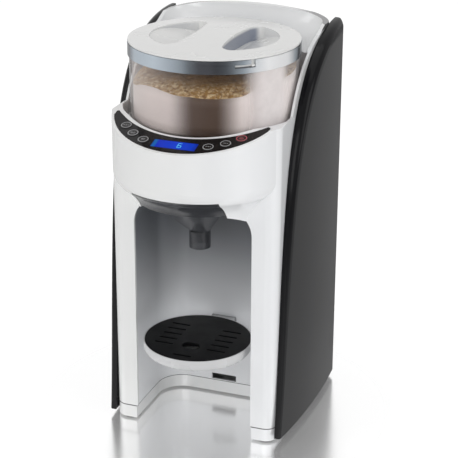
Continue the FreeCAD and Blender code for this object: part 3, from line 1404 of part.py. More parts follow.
def tank_plan(inset):
    half = "(dim.tank_half - (%s))" % inset
    front = "(dim.tank_front + (%s))" % inset
    rear = "(dim.tank_rear - (%s))" % inset
    bend = "(dim.leg_corner * 2 - (%s))" % inset
    small = "(5 - (%s) / 2)" % inset
    return [
        ("-%s + %s" % (half, small), front),
        ("%s - %s" % (half, small), front, small, 1),
        (half, "%s + %s" % (front, small)),
        (half, "%s - %s" % (rear, bend), bend, 1),
        ("%s - %s" % (half, bend), rear),
        ("-%s + %s" % (half, bend), rear, bend, 1),
        ("-" + half, "%s - %s" % (rear, bend)),
        ("-" + half, "%s + %s" % (front, small), small, 1),
    ]


HINGE_Y = "(dim.tank_front + 0.6)"
HINGE_Z = "(dim.tank_top + 6)"


def make_water_tank():
    """Clear tank that stands on the dock behind the casing."""
    part = new_body("water_tank")
    pad(part, sketch(part, "XY", [tank_plan("0")], lift="dim.tank_foot"), "dim.tank_top - dim.tank_foot")
    room = sketch(part, "XY", [tank_plan("dim.tank_wall")], lift="dim.tank_foot + dim.tank_wall")
    pocket(part, room, "400", up=True)
    spigot = sketch(part, "XY", circles=[("0", SOCKET_AT, "8.6")], lift="dim.tank_foot - 5")
    pad(part, spigot, "6")
    pocket(part, sketch(part, "XY", circles=[("0", SOCKET_AT, "6")], lift="0"), "dim.tank_foot + 10", up=True)
    ears = [rectangle("-26", "dim.tank_top - 3", "-22", HINGE_Z + " + 2.6"),
            rectangle("22", "dim.tank_top - 3", "26", HINGE_Z + " + 2.6")]
    pad(part, sketch(part, "XZ", ears, lift="-%s - 2.6" % HINGE_Y), "5.6")
    hole = sketch(part, "YZ", circles=[(HINGE_Y, HINGE_Z, "1.55")])
    pocket(part, hole, both=True)
    return part


def make_tank_lid():
    """Clear lid that hinges at the tank's front edge."""
    part = new_body("tank_lid")
    foot = "(dim.tank_top + dim.seam)"
    pad(part, sketch(part, "XY", [tank_plan("0.2")], lift=foot), "3")
    skirt = [tank_plan("dim.tank_wall + 0.5"), tank_plan("dim.tank_wall + 2.5")]
    rim = sketch(part, "XY", skirt, lift=foot + " - 4")
    pad(part, rim, "4.5")
    hinge_rear = HINGE_Y + " + 4.5"
    room = [rectangle("-27", "90", "-21", hinge_rear), rectangle("21", "90", "27", hinge_rear)]
    pocket(part, sketch(part, "XY", room, lift=foot + " - 8"), "30", up=True)
    clear = rectangle("-70", "90", "70", "dim.tank_front + 9")
    pocket(part, sketch(part, "XY", [clear], lift=foot), "20")
    barrel = sketch(part, "YZ", circles=[(HINGE_Y, HINGE_Z, "2.9")])
    pad(part, barrel, "41", both=True)
    stem = rectangle(HINGE_Y + " - 1.5", foot + " + 1", HINGE_Y + " + 1.5", HINGE_Z)
    pad(part, sketch(part, "YZ", [stem]), "41", both=True)
    pocket(part, sketch(part, "YZ", circles=[(HINGE_Y, HINGE_Z, "1.56")]), both=True)
    return part


def make_tank_fittings():
    """Hinge pin, and the sprung valve that shuts the tank when it is lifted off."""
    register("lid_pin", place_along_x("-26", "26", HINGE_Y, HINGE_Z, "1.5"), shifted=False)
    pin = nodes["lid_pin"]
    pin.setExpression("Placement.Base.y", "%s + %s" % (HINGE_Y, FRAME_SHIFT))
    valve = new_body("tank_valve")
    floor = "(dim.tank_foot + dim.tank_wall)"
    profile = [
        ("0", "dim.tank_foot - 3.7"),
        ("1.6", "dim.tank_foot - 3.7"),
        ("1.6", floor + " + 0.3"),
        ("7.4", floor + " + 0.3"),
        ("7.4", floor + " + 2.3"),
        ("3", floor + " + 2.3"),
        ("3", floor + " + 4"),
        ("0", floor + " + 4"),
    ]
    turned(valve, sketch(valve, "XZ", [profile], lift="-" + SOCKET_AT))
    cage = new_body("valve_cage")
    tube = [("0", SOCKET_AT, "10"), ("0", SOCKET_AT, "8.2")]
    pad(cage, sketch(cage, "XY", circles=tube, lift=floor + " + 0.1"), "16")
    pad(cage, sketch(cage, "XY", circles=[("0", SOCKET_AT, "10")], lift=floor + " + 16"), "2")
    windows = rectangle("-3.5", floor + " + 3", "3.5", floor + " + 12")
    pocket(cage, sketch(cage, "XZ", [windows]), both=True)
    make_valve_spring()


def make_valve_spring():
    """Coil spring between the valve and the top of its cage."""
    low = real("dim.tank_foot + dim.tank_wall + 2.3") + 0.8
    high = real("dim.tank_foot + dim.tank_wall + 16") - 0.8
    turns = 4
    path = Part.makeHelix((high - low) / turns, high - low, 4.6)
    section = Part.Wire(Part.makeCircle(0.45, Vector(4.6, 0, 0), Vector(0, 1, 0)))
    coil = Part.Wire(path).makePipeShell([section], True, True)
    spring = doc.addObject("Part::Feature", "valve_spring")
    spring.Shape = coil
    register("valve_spring", spring, shifted=False)
    spring.Placement = Placement(Vector(0, real(SOCKET_AT) + real(FRAME_SHIFT), low), Rotation())


# ---------------------------------------------------------------- inside


PLUMB_Y = "61"
SHELF = "66"


def make_inner_chassis():
    """Shelf across the casing behind the bottle recess."""
    half = "(dim.body_half - dim.wall - dim.seam)"
    shelf = block("-" + half, LINER_REAR + " + 0.4", SHELF, half, "dim.casing_rear - 0.4", SHELF + " + 3")
    rim = block("-" + half, LINER_REAR + " + 0.4", SHELF + " - 10",
                half, LINER_REAR + " + 2.4", SHELF + " + 1")
    holes = post("30", PLUMB_Y, SHELF + " - 5", SHELF + " + 9", "6")
    rear = "dim.casing_rear"
    notches = [block(x + " - 6", rear + " - 17", SHELF + " - 12", x + " + 10", rear + " + 1", SHELF + " + 9")
               for x in ("66", "-70")]
    return register("inner_chassis", cut(joined(shelf, rim), holes, *notches))


def make_heater():
    """Steel boiler that stands on the shelf, with an inlet at its side and an outlet on top."""
    part = doc.addObject("PartDesign::Body", "boiler")
    foot = "(%s + 3.3)" % SHELF
    profile = [
        ("0", foot),
        ("18", foot, "4", 1),
        ("22", foot + " + 4"),
        ("22", foot + " + 74"),
        ("16", foot + " + 80"),
        ("3", foot + " + 80"),
        ("3", foot + " + 85"),
        ("0", foot + " + 85"),
    ]
    turned(part, sketch(part, "XZ", [profile], lift="-" + PLUMB_Y))
    part.setExpression("Placement.Base.x", "-30")
    return register("heater", joined(part, place_along_x("-12", "-3", PLUMB_Y, "100", "2.6")))


def make_water_pump():
    floor = "(dim.foot_gap + dim.wall + 0.3)"
    body = joined(block("14", "44", floor, "46", "78", floor + " + 30"),
                  post("30", PLUMB_Y, floor + " + 29", "60", "14"),
                  post("30", PLUMB_Y, "59", "66", "2.6"),
                  bar("30", "77", "86", HOSE_LEVEL, "2.5"))
    return register("water_pump", body)


def hose(name, corners, radius):
    """A hollow hose along straight runs joined by tangent arcs."""
    places = [Vector(real(x), real(y), real(z)) for x, y, z in corners]
    runs = [(b - a).Length for a, b in zip(places, places[1:])]
    edges = []
    start = places[0]
    for index in range(1, len(places) - 1):
        before = (places[index] - places[index - 1]).normalize()
        after = (places[index + 1] - places[index]).normalize()
        turn = before.getAngle(after)
        back = 0.45 * min(runs[index - 1], runs[index])
        bend = back / math.tan(turn / 2)
        enter = places[index] - before * back
        leave = places[index] + after * back
        inward = (after - before).normalize()
        middle = places[index] + inward * (bend / math.cos(turn / 2) - bend)
        edges.append(Part.makeLine(start, enter))
        edges.append(Part.Arc(enter, middle, leave).toShape())
        start = leave
        print(name, "bend radius", round(bend, 1))
    edges.append(Part.makeLine(start, places[-1]))
    path = Part.Wire(edges)
    first = (places[1] - places[0]).normalize()
    tubes = []
    for size in (radius, radius - 1.2):
        section = Part.Wire(Part.makeCircle(size, places[0], first))
        tubes.append(path.makePipeShell([section], True, True))
    item = doc.addObject("Part::Feature", name)
    item.Shape = tubes[0].cut(tubes[1])
    expected = math.pi * (radius ** 2 - (radius - 1.2) ** 2) * path.Length
    print(name, "volume against section times length", round(item.Shape.Volume / expected, 3))
    return register(name, item)


def make_hoses():
    hose("inlet_hose", (("0", SOCKET_AT + " - 9.3", HOSE_LEVEL), ("0", "dim.tank_front + 1", HOSE_LEVEL),
                        ("30", "dim.tank_front - 6", HOSE_LEVEL), ("30", "86.3", HOSE_LEVEL)), 3.4)
    hose("heater_hose", (("30", PLUMB_Y, "66.3"), ("30", PLUMB_Y, "100"), ("-2.7", PLUMB_Y, "100")), 3.6)
    lane = "dim.pan_floor - 8"
    hose("spout_hose", (("-30", PLUMB_Y, "%s + 88.6" % SHELF), ("-30", PLUMB_Y, lane), ("-30", "-27", lane),
                        ("-5.3", "-27", lane)), 3.6)


def make_power_board():
    """Mains board that stands on the shelf beside the boiler."""
    foot = SHELF + " + 3.3"
    board = block("70", "34", foot, "71.6", "80", "150")
    parts = [
        block("48", "40", "82", "70.2", "70", "106"),
        block("58", "44", "118", "70.2", "60", "134"),
        block("64", "66", "116", "70.2", "76", "130"),
    ]
    return register("power_board", joined(board, *parts))


# ---------------------------------------------------------------- build, check, write

make_front_housing()
make_alcove_liner()
make_base()
make_tank_dock()
make_rubber_feet()
make_side_panels()
make_hood()
make_rear_cover()
make_screws()
make_cord_gland()
make_control_panel()
make_buttons()
make_display()
make_keypad()
make_seat_pan()
make_container_bowl()
make_collar_ring()
make_measuring_wheel()
make_powder_scraper()
make_stirring_wheel()
make_drive()
make_drive_motor()
make_lid()
make_funnel()
make_water_spout()
make_drip_tray()
make_tray_grid()
make_water_tank()
make_tank_lid()
make_tank_fittings()
make_inner_chassis()
make_heater()
make_water_pump()
make_hoses()
make_power_board()
doc.recompute()

faults = [item.Name for item in doc.Objects if "Invalid" in item.State or "Error" in item.State]
for item in doc.Objects:
    if item.TypeId not in ("PartDesign::Pocket", "PartDesign::Groove") or not item.BaseFeature:
        continue
    before = item.BaseFeature.Shape
    if item.Shape.isNull() or before.isNull():
        faults.append(item.getParentGeoFeatureGroup().Label + " " + item.Name)
    elif not item.Shape.Volume < before.Volume - 1e-3:
        faults.append(item.getParentGeoFeatureGroup().Label + " " + item.Name + " cuts nothing")
for name, item in nodes.items():
    if item.Shape.isNull() or not item.Shape.isValid() or not item.Shape.Solids:
        faults.append(name)
if faults:
    raise RuntimeError("faults in " + ", ".join(faults))

os.makedirs("parts", exist_ok=True)
for name, item in sorted(nodes.items()):
    item.Shape.exportStep("parts/%s.step" % name)
print(len(nodes), "sub-parts written")
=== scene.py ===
from math import atan2, cos, degrees, hypot, pi, radians, sin

import bpy
from mathutils import Matrix, Vector


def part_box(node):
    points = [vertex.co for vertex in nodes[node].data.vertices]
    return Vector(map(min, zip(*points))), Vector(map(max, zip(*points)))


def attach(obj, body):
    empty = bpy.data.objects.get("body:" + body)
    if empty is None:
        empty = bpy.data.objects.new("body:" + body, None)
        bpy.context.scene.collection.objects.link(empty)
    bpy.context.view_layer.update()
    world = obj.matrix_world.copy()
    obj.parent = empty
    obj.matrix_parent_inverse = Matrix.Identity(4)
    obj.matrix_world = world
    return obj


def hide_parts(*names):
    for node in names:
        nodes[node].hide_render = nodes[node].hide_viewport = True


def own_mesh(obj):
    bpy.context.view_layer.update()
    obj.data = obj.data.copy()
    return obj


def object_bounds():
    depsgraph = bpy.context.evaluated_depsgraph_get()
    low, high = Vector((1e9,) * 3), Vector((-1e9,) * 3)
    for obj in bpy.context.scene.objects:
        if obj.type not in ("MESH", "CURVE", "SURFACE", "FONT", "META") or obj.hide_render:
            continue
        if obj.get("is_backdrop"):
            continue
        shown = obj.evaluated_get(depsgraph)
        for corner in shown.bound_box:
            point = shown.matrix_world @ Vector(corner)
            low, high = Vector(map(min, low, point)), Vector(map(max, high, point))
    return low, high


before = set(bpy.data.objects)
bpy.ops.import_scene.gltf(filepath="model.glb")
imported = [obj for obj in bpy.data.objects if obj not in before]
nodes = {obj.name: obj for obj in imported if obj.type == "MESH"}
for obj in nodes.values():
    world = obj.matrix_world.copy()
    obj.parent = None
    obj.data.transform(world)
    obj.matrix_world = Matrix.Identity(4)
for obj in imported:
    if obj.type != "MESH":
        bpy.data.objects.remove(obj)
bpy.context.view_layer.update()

# Countertop baby formula maker, dressed part by part in the order it is put together.
# Lengths are metres and colours are linear light.
mm = 0.001
AXIS_Y = -0.020

# ---------------------------------------------------------------- white casing
# The front housing, the base tray, the hood behind the container and the rear cover are
# injection moulded ABS, polished in the mould, with the faint ripple that a gloss skin has.


class Wire:
    """One output of a shader node, so that a pattern can be written as a sum."""

    def __init__(self, tree, socket=None):
        self.tree = tree
        self.socket = socket

    def node(self, kind, settings, inputs, output=0):
        """Adds a node: its settings first, then the values or wires of its sockets."""
        made = self.tree.nodes.new("ShaderNode" + kind)
        for name, value in settings.items():
            if name == "stops":
                set_stops(made.color_ramp, value)
            else:
                setattr(made, name, value)
        for name, value in inputs.items():
            if isinstance(value, Wire):
                self.tree.links.new(value.socket, made.inputs[name])
            else:
                made.inputs[name].default_value = value
        return Wire(self.tree, made.outputs[output])

    def maths(self, operation, *values):
        return self.node("Math", {"operation": operation}, dict(enumerate(values)))

    def size(self):
        return self.maths("ABSOLUTE", self)

    def clamped(self, low, high):
        """0 below low, 1 above high, and a smooth rise between them."""
        settings = {"interpolation_type": "SMOOTHSTEP"}
        return self.node("MapRange", settings, {"Value": self, "From Min": low, "From Max": high})

    def __add__(self, other):
        return self.maths("ADD", self, other)

    def __radd__(self, other):
        return self.maths("ADD", other, self)

    def __sub__(self, other):
        return self.maths("SUBTRACT", self, other)

    def __rsub__(self, other):
        return self.maths("SUBTRACT", other, self)

    def __mul__(self, other):
        return self.maths("MULTIPLY", self, other)

    def __rmul__(self, other):
        return self.maths("MULTIPLY", other, self)


def set_stops(ramp, stops):
    """Fills a colour ramp with (place, colour) pairs."""
    while len(ramp.elements) < len(stops):
        ramp.elements.new(1)
    for element, (place, colour) in zip(ramp.elements, stops):
        element.position = place
        element.color = (*colour, 1)


class Finish:
    """A material of one main shader, and what its patterns are made from."""

    def __init__(self, name, colour, rough, **constants):
        self.material = bpy.data.materials.new(name)
        self.material.use_nodes = True
        self.tree = self.material.node_tree
        self.shader = self.tree.nodes["Principled BSDF"]
        self.colour = (*colour, 1)
        self.shader.inputs["Base Color"].default_value = self.colour
        self.shader.inputs["Roughness"].default_value = rough
        for key, value in constants.items():
            self.shader.inputs[key.replace("_", " ")].default_value = value
        start = Wire(self.tree)
        self.place = start.node("TexCoord", {}, {}, "Object")
        apart = self.tree.nodes.new("ShaderNodeSeparateXYZ")
        self.tree.links.new(self.place.socket, apart.inputs[0])
        self.x, self.y, self.z = (Wire(self.tree, apart.outputs[axis]) for axis in "XYZ")
        facing = self.tree.nodes.new("ShaderNodeSeparateXYZ")
        self.tree.links.new(start.node("TexCoord", {}, {}, "Normal").socket, facing.inputs[0])
        self.to_x, self.to_y, self.to_z = (Wire(self.tree, facing.outputs[axis]) for axis in "XYZ")

    def noise(self, scale, detail=2.0, roughness=0.5):
        """Cloudy pattern from 0 to 1; scale is features to a metre."""
        values = {"Vector": self.place, "Scale": scale, "Detail": detail, "Roughness": roughness}
        return self.place.node("TexNoise", {}, values, "Fac")

    def mix(self, factor, first, second):
        """Colour from first, where factor is 0, to second, where it is 1."""
        values = {0: factor}
        for key, colour in ((6, first), (7, second)):
            values[key] = colour if isinstance(colour, Wire) else (*colour, 1)
        return self.place.node("Mix", {"data_type": "RGBA"}, values, 2)

    def feed(self, name, wire):
        """Runs a pattern into one of the main shader's sockets."""
        self.tree.links.new(wire.socket, self.shader.inputs[name])

    def bearing(self):
        """Angle about the container's axis, from the front toward the right, in radians."""
        return self.x.maths("ARCTAN2", self.x, AXIS_Y - self.y)

    def reach(self):
        """Distance from the container's axis, in metres."""
        out_y = self.y - AXIS_Y
        return self.x.maths("SQRT", self.x * self.x + out_y * out_y)

    def relief(self, height, depth):
        """Surface relief from a pattern; depth is in metres."""
        values = {"Height": height, "Distance": depth, "Strength": 1.0}
        self.feed("Normal", self.place.node("Bump", {}, values))

    def moulded(self, tint, rough_low, rough_high, ripple=0.02 * mm):
        """The look of a moulded part: a slow colour drift over its skin."""
        base = tuple(self.colour[:3])
        self.feed("Base Color", self.mix(self.noise(9, 3), base, tuple(c * t for c, t in zip(base, tint))))
        self.skin(rough_low, rough_high, ripple)

    def skin(self, rough_low, rough_high, ripple=0.02 * mm):
        """Finger-dulled gloss and a faint ripple, which leave the colour to the caller."""
        dulled = self.noise(38, 4).clamped(0.42, 0.72)
        self.feed("Roughness", dulled * (rough_high - rough_low) + rough_low)
        self.relief(self.noise(260, 2), ripple)

    def clear(self, low, high, edge=0.35, film=0.0):
        """Turns the finish into clear plastic: see-through face on, glossy at a slant or under a film."""
        facing = self.place.node("LayerWeight", {}, {"Blend": edge}, "Facing")
        through = self.place.node("BsdfTransparent", {}, {"Color": (1, 1, 1, 1)})
        share = facing * (high - low) + low + film
        glossy = Wire(self.tree, self.shader.outputs[0])
        both = self.place.node("MixShader", {}, {0: share, 1: through, 2: glossy})
        self.tree.links.new(both.socket, self.tree.nodes["Material Output"].inputs["Surface"])


def dress(finish, *names):
    """Gives CAD nodes a finish by putting it in their material slots."""
    for name in names:
        for place in nodes[name].material_slots:
            place.material = finish.material


SHELL_WHITE = (0.80, 0.805, 0.81)
SHELL_COAT = {"Coat_Weight": 0.35, "Coat_Roughness": 0.06}
SHELL_GLOSS = (0.16, 0.26)
shell = Finish("shell_white_gloss", SHELL_WHITE, 0.2, **SHELL_COAT)
shell.moulded((0.985, 0.985, 0.99), *SHELL_GLOSS)

# Painted light: the casing runs from painted shade on its left to painted light on its right,
# and a painted shadow darkens the seam above the base.

CASING_SHADE = (0.84, 0.845, 0.84)
CASING_LIT = (0.90, 0.91, 0.925)
SEAM_SHADE_AND_TRIM_DARK = (0.14, 0.14, 0.145)
SHADE_ENDS = -20 * mm
LIT_STARTS = 70 * mm
SEAM_HALF = 0.3 * mm
SEAM_FADE = 0.4 * mm
seam_height = (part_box("base")[1].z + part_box("front_housing")[0].z) / 2
casing = Finish("casing_white_gloss", SHELL_WHITE, 0.2, **SHELL_COAT)
casing.skin(*SHELL_GLOSS)
painted_light_casing = casing.mix(casing.x.clamped(SHADE_ENDS, LIT_STARTS), CASING_SHADE, CASING_LIT)
# Painted shadow in the seam between the casing and the base.
painted_seam_shadow = 1 - (casing.z - seam_height).size().clamped(SEAM_HALF, SEAM_HALF + SEAM_FADE)
casing.feed("Base Color", casing.mix(painted_seam_shadow, painted_light_casing, SEAM_SHADE_AND_TRIM_DARK))
dress(casing, "front_housing", "base")

# The hood's outer face, which looks away from the hood's middle, has a dark trim along its top.

HOOD_MIDDLE_Y = 20 * mm
TRIM_FOOT = 352 * mm
TRIM_FADE = 2 * mm
OUTER_FACE = (2 * mm, 10 * mm)
trimmed = Finish("hood_white_gloss", SHELL_WHITE, 0.2, **SHELL_COAT)
trimmed.skin(*SHELL_GLOSS)
outward = trimmed.to_x * trimmed.x + trimmed.to_y * (trimmed.y - HOOD_MIDDLE_Y)
trim = outward.clamped(*OUTER_FACE) * trimmed.z.clamped(TRIM_FOOT, TRIM_FOOT + TRIM_FADE)
trimmed.feed("Base Color", trimmed.mix(trim, SHELL_WHITE, SEAM_SHADE_AND_TRIM_DARK))
dress(trimmed, "hood")

REAR_WHITE = (0.72, 0.725, 0.73)
rear = Finish("rear_white_satin", REAR_WHITE, 0.4)
rear.moulded((0.97, 0.97, 0.98), 0.34, 0.48, 0.04 * mm)
dress(rear, "rear_cover", "tank_dock", "seat_pan", "inner_chassis")

# ---------------------------------------------------------------- side panels
# Bowed panels of dark satin plastic.  Their outer face carries a fine spark texture and painted light,
# running from painted shade at the front to painted light at the rear.  The edge that turns in to the white
# casing is polished, and painted shade makes it near-black, fading toward the foot and widening at the top
# tip.

PANEL_GREY = (0.030, 0.030, 0.031)
PANEL_FRONT_SHADE = (0.026, 0.026, 0.027)
PANEL_REAR_LIT = (0.050, 0.050, 0.051)
PANEL_EDGE_SHADE = (0.006, 0.006, 0.007)
BOW_RADIUS = 0.740
BOW_CROWN_Y = 0.022
EDGE_TURN = 0.7 * mm
TIP_FOOT = 0.3395
TIP_SLOPE = 0.075
TIP_FADE = 3 * mm

panel = Finish("side_panel_satin", PANEL_GREY, 0.42, Specular_IOR_Level=0.1)
bow_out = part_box("right_side_panel")[1].x
along = panel.y - BOW_CROWN_Y
fall = along * along * (0.5 / BOW_RADIUS)
sunk = (bow_out - fall) - panel.x.size()
edge = sunk.clamped(EDGE_TURN, 1.6 * EDGE_TURN)
spark = panel.noise(2600, 2, 0.6)
drift = panel.noise(7, 3)
rearward = panel.y.clamped(-0.06, 0.06)
# Painted light: the face runs from painted shade at the front to painted light at the rear, with a slow
# random drift.
shaded_face_grey = panel.mix(rearward * 0.8 + drift * 0.2, PANEL_FRONT_SHADE, PANEL_REAR_LIT)
edge_shade_by_height = panel.z.clamped(0.04, 0.24) * 0.75 + 0.25
painted_tip_shade = (panel.z - panel.y * TIP_SLOPE).clamped(TIP_FOOT, TIP_FOOT + TIP_FADE)
# Painted shade: near-black along the turned-in edge, fading toward the foot, and over the top tip.
black = edge * edge_shade_by_height
panel.feed("Base Color", panel.mix(black.maths("MAXIMUM", black, painted_tip_shade), shaded_face_grey, PANEL_EDGE_SHADE))
panel.feed("Roughness", (1 - edge) * (0.40 + drift * 0.08) + edge * 0.12)
panel.relief((1 - edge) * spark, 0.03 * mm)
dress(panel, "left_side_panel", "right_side_panel")

# ---------------------------------------------------------------- bottle recess liner
# One grey-white moulding with a matt skin that lines the arch and the back of the recess.
# Painted shade darkens it toward its top, where little light comes in, and most on the back wall up high.

LINER_GREY = (0.86, 0.87, 0.885)
LINER_TOP_SHADE = (0.20, 0.212, 0.235)
LINER_BACK_SHADE = (0.095, 0.10, 0.11)
liner = Finish("recess_liner_satin", LINER_GREY, 0.35)
liner.skin(0.30, 0.42, 0.03 * mm)
# Painted shade darkens the liner toward its top, and most on the back wall up high.
shade = liner.z.clamped(0.06, 0.19) * 0.92 + liner.noise(14, 2) * 0.08
back_wall_shade = (0 - liner.to_y).clamped(0.3, 0.9) * liner.z.clamped(0.10, 0.22)
liner.feed("Base Color", liner.mix(back_wall_shade, liner.mix(shade, LINER_GREY, LINER_TOP_SHADE), LINER_BACK_SHADE))
dress(liner, "alcove_liner")

# ---------------------------------------------------------------- powder container
# A clear copolyester bowl with its collar ring, and the formula powder that it holds.
# A pale pinkish film is mixed over the bowl on its right, between two bearings.

FILM_TINT = (0.97, 0.91, 0.90)
RIM_PAINTED_DARK = (0.06, 0.06, 0.065)
FILM_RISES = (radians(38), radians(56))
FILM_FALLS = (radians(68), radians(80))
bowl_clear = Finish("bowl_clear", FILM_TINT, 0.05, IOR=1.5)
bowl_clear.feed("Roughness", bowl_clear.noise(60, 3) * 0.05 + 0.03)
bowl_clear.relief(bowl_clear.noise(45, 1), 0.05 * mm)
round_bowl = bowl_clear.bearing()
right_film = round_bowl.clamped(*FILM_RISES) * (1 - round_bowl.clamped(*FILM_FALLS))
# Painted shade: the bowl's colour turns dark where it is seen at a slant, standing in for the dark edges of
# thick clear plastic.
slant = bowl_clear.place.node("LayerWeight", {}, {"Blend": 0.5}, "Facing").clamped(0.78, 0.93)
bowl_clear.feed("Base Color", bowl_clear.mix(slant, FILM_TINT, RIM_PAINTED_DARK))
bowl_clear.clear(0.0, 0.42, film=right_film * (bowl_clear.noise(110, 4) * 0.2 + 0.56) + slant * 0.5)
dress(bowl_clear, "container_bowl")

COLLAR_METAL = (0.70, 0.75, 0.78)
SHEEN_BRIGHT = (0.96, 0.96, 0.97)
SHEEN_PALE = (0.56, 0.63, 0.70)
SHEEN_MID = (0.26, 0.30, 0.34)
SHEEN_DARK = (0.065, 0.065, 0.078)
collar = Finish("collar_brushed_silver", COLLAR_METAL, 0.28, Metallic=1.0)
around = collar.place.node("Mapping", {}, {"Vector": collar.place, "Scale": (20, 20, 1800)})
lines = collar.place.node("TexNoise", {}, {"Vector": around, "Scale": 1.0, "Detail": 3.0}, "Fac")
# Painted reflection: the collar's colour runs round it through bright, pale, mid and dark bands, standing in
# for the studio it mirrors.
round_collar = collar.bearing() * (0.5 / pi) + 0.5
painted_sheen = collar.place.node("ValToRGB", {"stops": (
    (0.00, SHEEN_PALE), (0.17, SHEEN_BRIGHT), (0.31, SHEEN_MID), (0.35, SHEEN_DARK), (0.38, SHEEN_PALE),
    (0.44, SHEEN_PALE), (0.50, SHEEN_MID), (0.53, SHEEN_DARK), (0.56, SHEEN_DARK), (0.61, SHEEN_MID),
    (0.66, SHEEN_BRIGHT), (0.71, SHEEN_BRIGHT), (0.74, SHEEN_MID), (0.77, SHEEN_DARK), (0.80, SHEEN_MID),
    (0.89, SHEEN_BRIGHT), (1.00, SHEEN_PALE))}, {"Fac": round_collar})
collar.feed("Base Color", collar.mix(lines * 0.15, painted_sheen, COLLAR_METAL))
collar.feed("Roughness", lines * 0.10 + 0.20)
collar.relief(lines, 0.004 * mm)
dress(collar, "collar_ring")


def deselect():
    bpy.ops.object.select_all(action="DESELECT")


def piece(name, body, finish):
    """Names the active object, bakes its place into its mesh and lets it ride on a body."""
    made = bpy.context.active_object
    made.name = name
    made.data.name = name
    deselect()
    made.select_set(True)
    bpy.ops.object.transform_apply(location=True, rotation=True, scale=True)
    if finish is not None:
        made.data.materials.clear()
        made.data.materials.append(finish.material)
    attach(made, body)
    return made


def pick(mesh_object, test):
    """Selects, in edit mode, the faces whose centre and normal pass a test."""
    bpy.ops.mesh.select_all(action="DESELECT")
    bpy.ops.object.mode_set(mode="OBJECT")
    for face in mesh_object.data.polygons:
        face.select = test(mesh_object.matrix_world @ face.center, face.normal)
    bpy.ops.object.mode_set(mode="EDIT")


AXIS = Vector((0, AXIS_Y, 0))
NECK_INSIDE = 63.7 * mm
BOWL_INSIDE = 71.35 * mm
POWDER_FOOT = 262.2 * mm
POWDER_STEP = 288.2 * mm
POWDER_TOP = 318 * mm
STIR_SWEEP = 62 * mm
STIR_TOP = 299 * mm
MOUND_TOP = 334 * mm
LEDGES = 2
RINGS = 26
EDGE_HEIGHTS = ((-180, 331), (-110, 322), (-68, 316), (-28, 325), (-1, 322), (21, 321), (38, 322),
                (54, 328), (84, 331), (130, 336), (180, 331))


def edge_height(turn):
    """Height of the powder at the bowl's wall, by degrees from the front toward the right."""
    for (turn_from, height_from), (turn_to, height_to) in zip(EDGE_HEIGHTS, EDGE_HEIGHTS[1:]):
        if turn_from <= turn <= turn_to:
            share = (turn - turn_from) / (turn_to - turn_from)
            smooth = share * share * (3 - 2 * share)
            return (height_from + (height_to - height_from) * smooth) * mm
    return EDGE_HEIGHTS[0][1] * mm


deselect()
bpy.ops.mesh.primitive_cylinder_add(
    vertices=144, radius=NECK_INSIDE, depth=POWDER_STEP - POWDER_FOOT,
    location=AXIS + Vector((0, 0, (POWDER_STEP + POWDER_FOOT) / 2)),
)
fill = bpy.context.active_object
bpy.ops.object.mode_set(mode="EDIT")
pick(fill, lambda centre, normal: normal.z > 0.9)
widen = BOWL_INSIDE / NECK_INSIDE
bpy.ops.mesh.extrude_region_move()
bpy.ops.transform.resize(value=(widen, widen, 1))
for ledge in range(LEDGES):
    bpy.ops.mesh.extrude_region_move(
        TRANSFORM_OT_translate={"value": (0, 0, (POWDER_TOP - POWDER_STEP) / LEDGES)})
for ring in range(RINGS):
    bpy.ops.mesh.inset(thickness=BOWL_INSIDE / (RINGS + 1))
bpy.ops.mesh.merge(type="CENTER")
bpy.ops.mesh.select_all(action="DESELECT")
pick(fill, lambda centre, normal: normal.z < -0.9 and centre.z < POWDER_STEP - mm)
bpy.ops.mesh.inset(thickness=NECK_INSIDE - STIR_SWEEP)
bpy.ops.mesh.extrude_region_move(TRANSFORM_OT_translate={"value": (0, 0, STIR_TOP - POWDER_FOOT)})
bpy.ops.object.mode_set(mode="OBJECT")
subdivide = fill.modifiers.new("finer", "SUBSURF")
subdivide.subdivision_type = "SIMPLE"
subdivide.levels = 1
subdivide.render_levels = 1
bpy.ops.object.modifier_apply(modifier="finer")
bpy.ops.object.transform_apply(location=True, rotation=True, scale=True)

# The flat top is heaped: a mound in the middle, the edge's own height at the wall, and lumps of
# three sizes, each a height and a pitch in millimetres and a phase, which die out at the wall.

LUMPS = ((0.9, 11, 0.0), (0.5, 5.2, 1.3), (0.32, 2.6, 2.1))
for vertex in fill.data.vertices:
    spot = vertex.co - AXIS
    if spot.z < POWDER_STEP + mm:
        continue
    reach = hypot(spot.x, spot.y) / BOWL_INSIDE
    turn = degrees(atan2(spot.x, -spot.y))
    rise = (spot.z - POWDER_STEP) / (POWDER_TOP - POWDER_STEP)
    level = MOUND_TOP + (edge_height(turn) - MOUND_TOP) * reach ** 3
    lump = 0
    for height, pitch, phase in LUMPS:
        step = pitch * mm
        along_x = sin(spot.x / step * 2.1 + phase + 1.7 * sin(spot.y / step))
        along_y = cos(spot.y / step * 1.9 - phase + 1.3 * sin(spot.x / step * 0.8))
        lump += height * mm * along_x * along_y
    vertex.co.z = POWDER_STEP + rise * (level + lump * min(1, (1.02 - reach) * 12) - POWDER_STEP)

POWDER_PALE = (0.73, 0.645, 0.62)
POWDER_LIT = (0.97, 0.90, 0.88)
POWDER_DARK_REFLECTION = (0.055, 0.022, 0.006)
POWDER_DULL = (0.66, 0.58, 0.55)
POWDER_SPECK = (0.45, 0.36, 0.31)
BAND_MIDDLE = radians(14)
BAND_HALF = radians(14)
BAND_SOFT = radians(14)
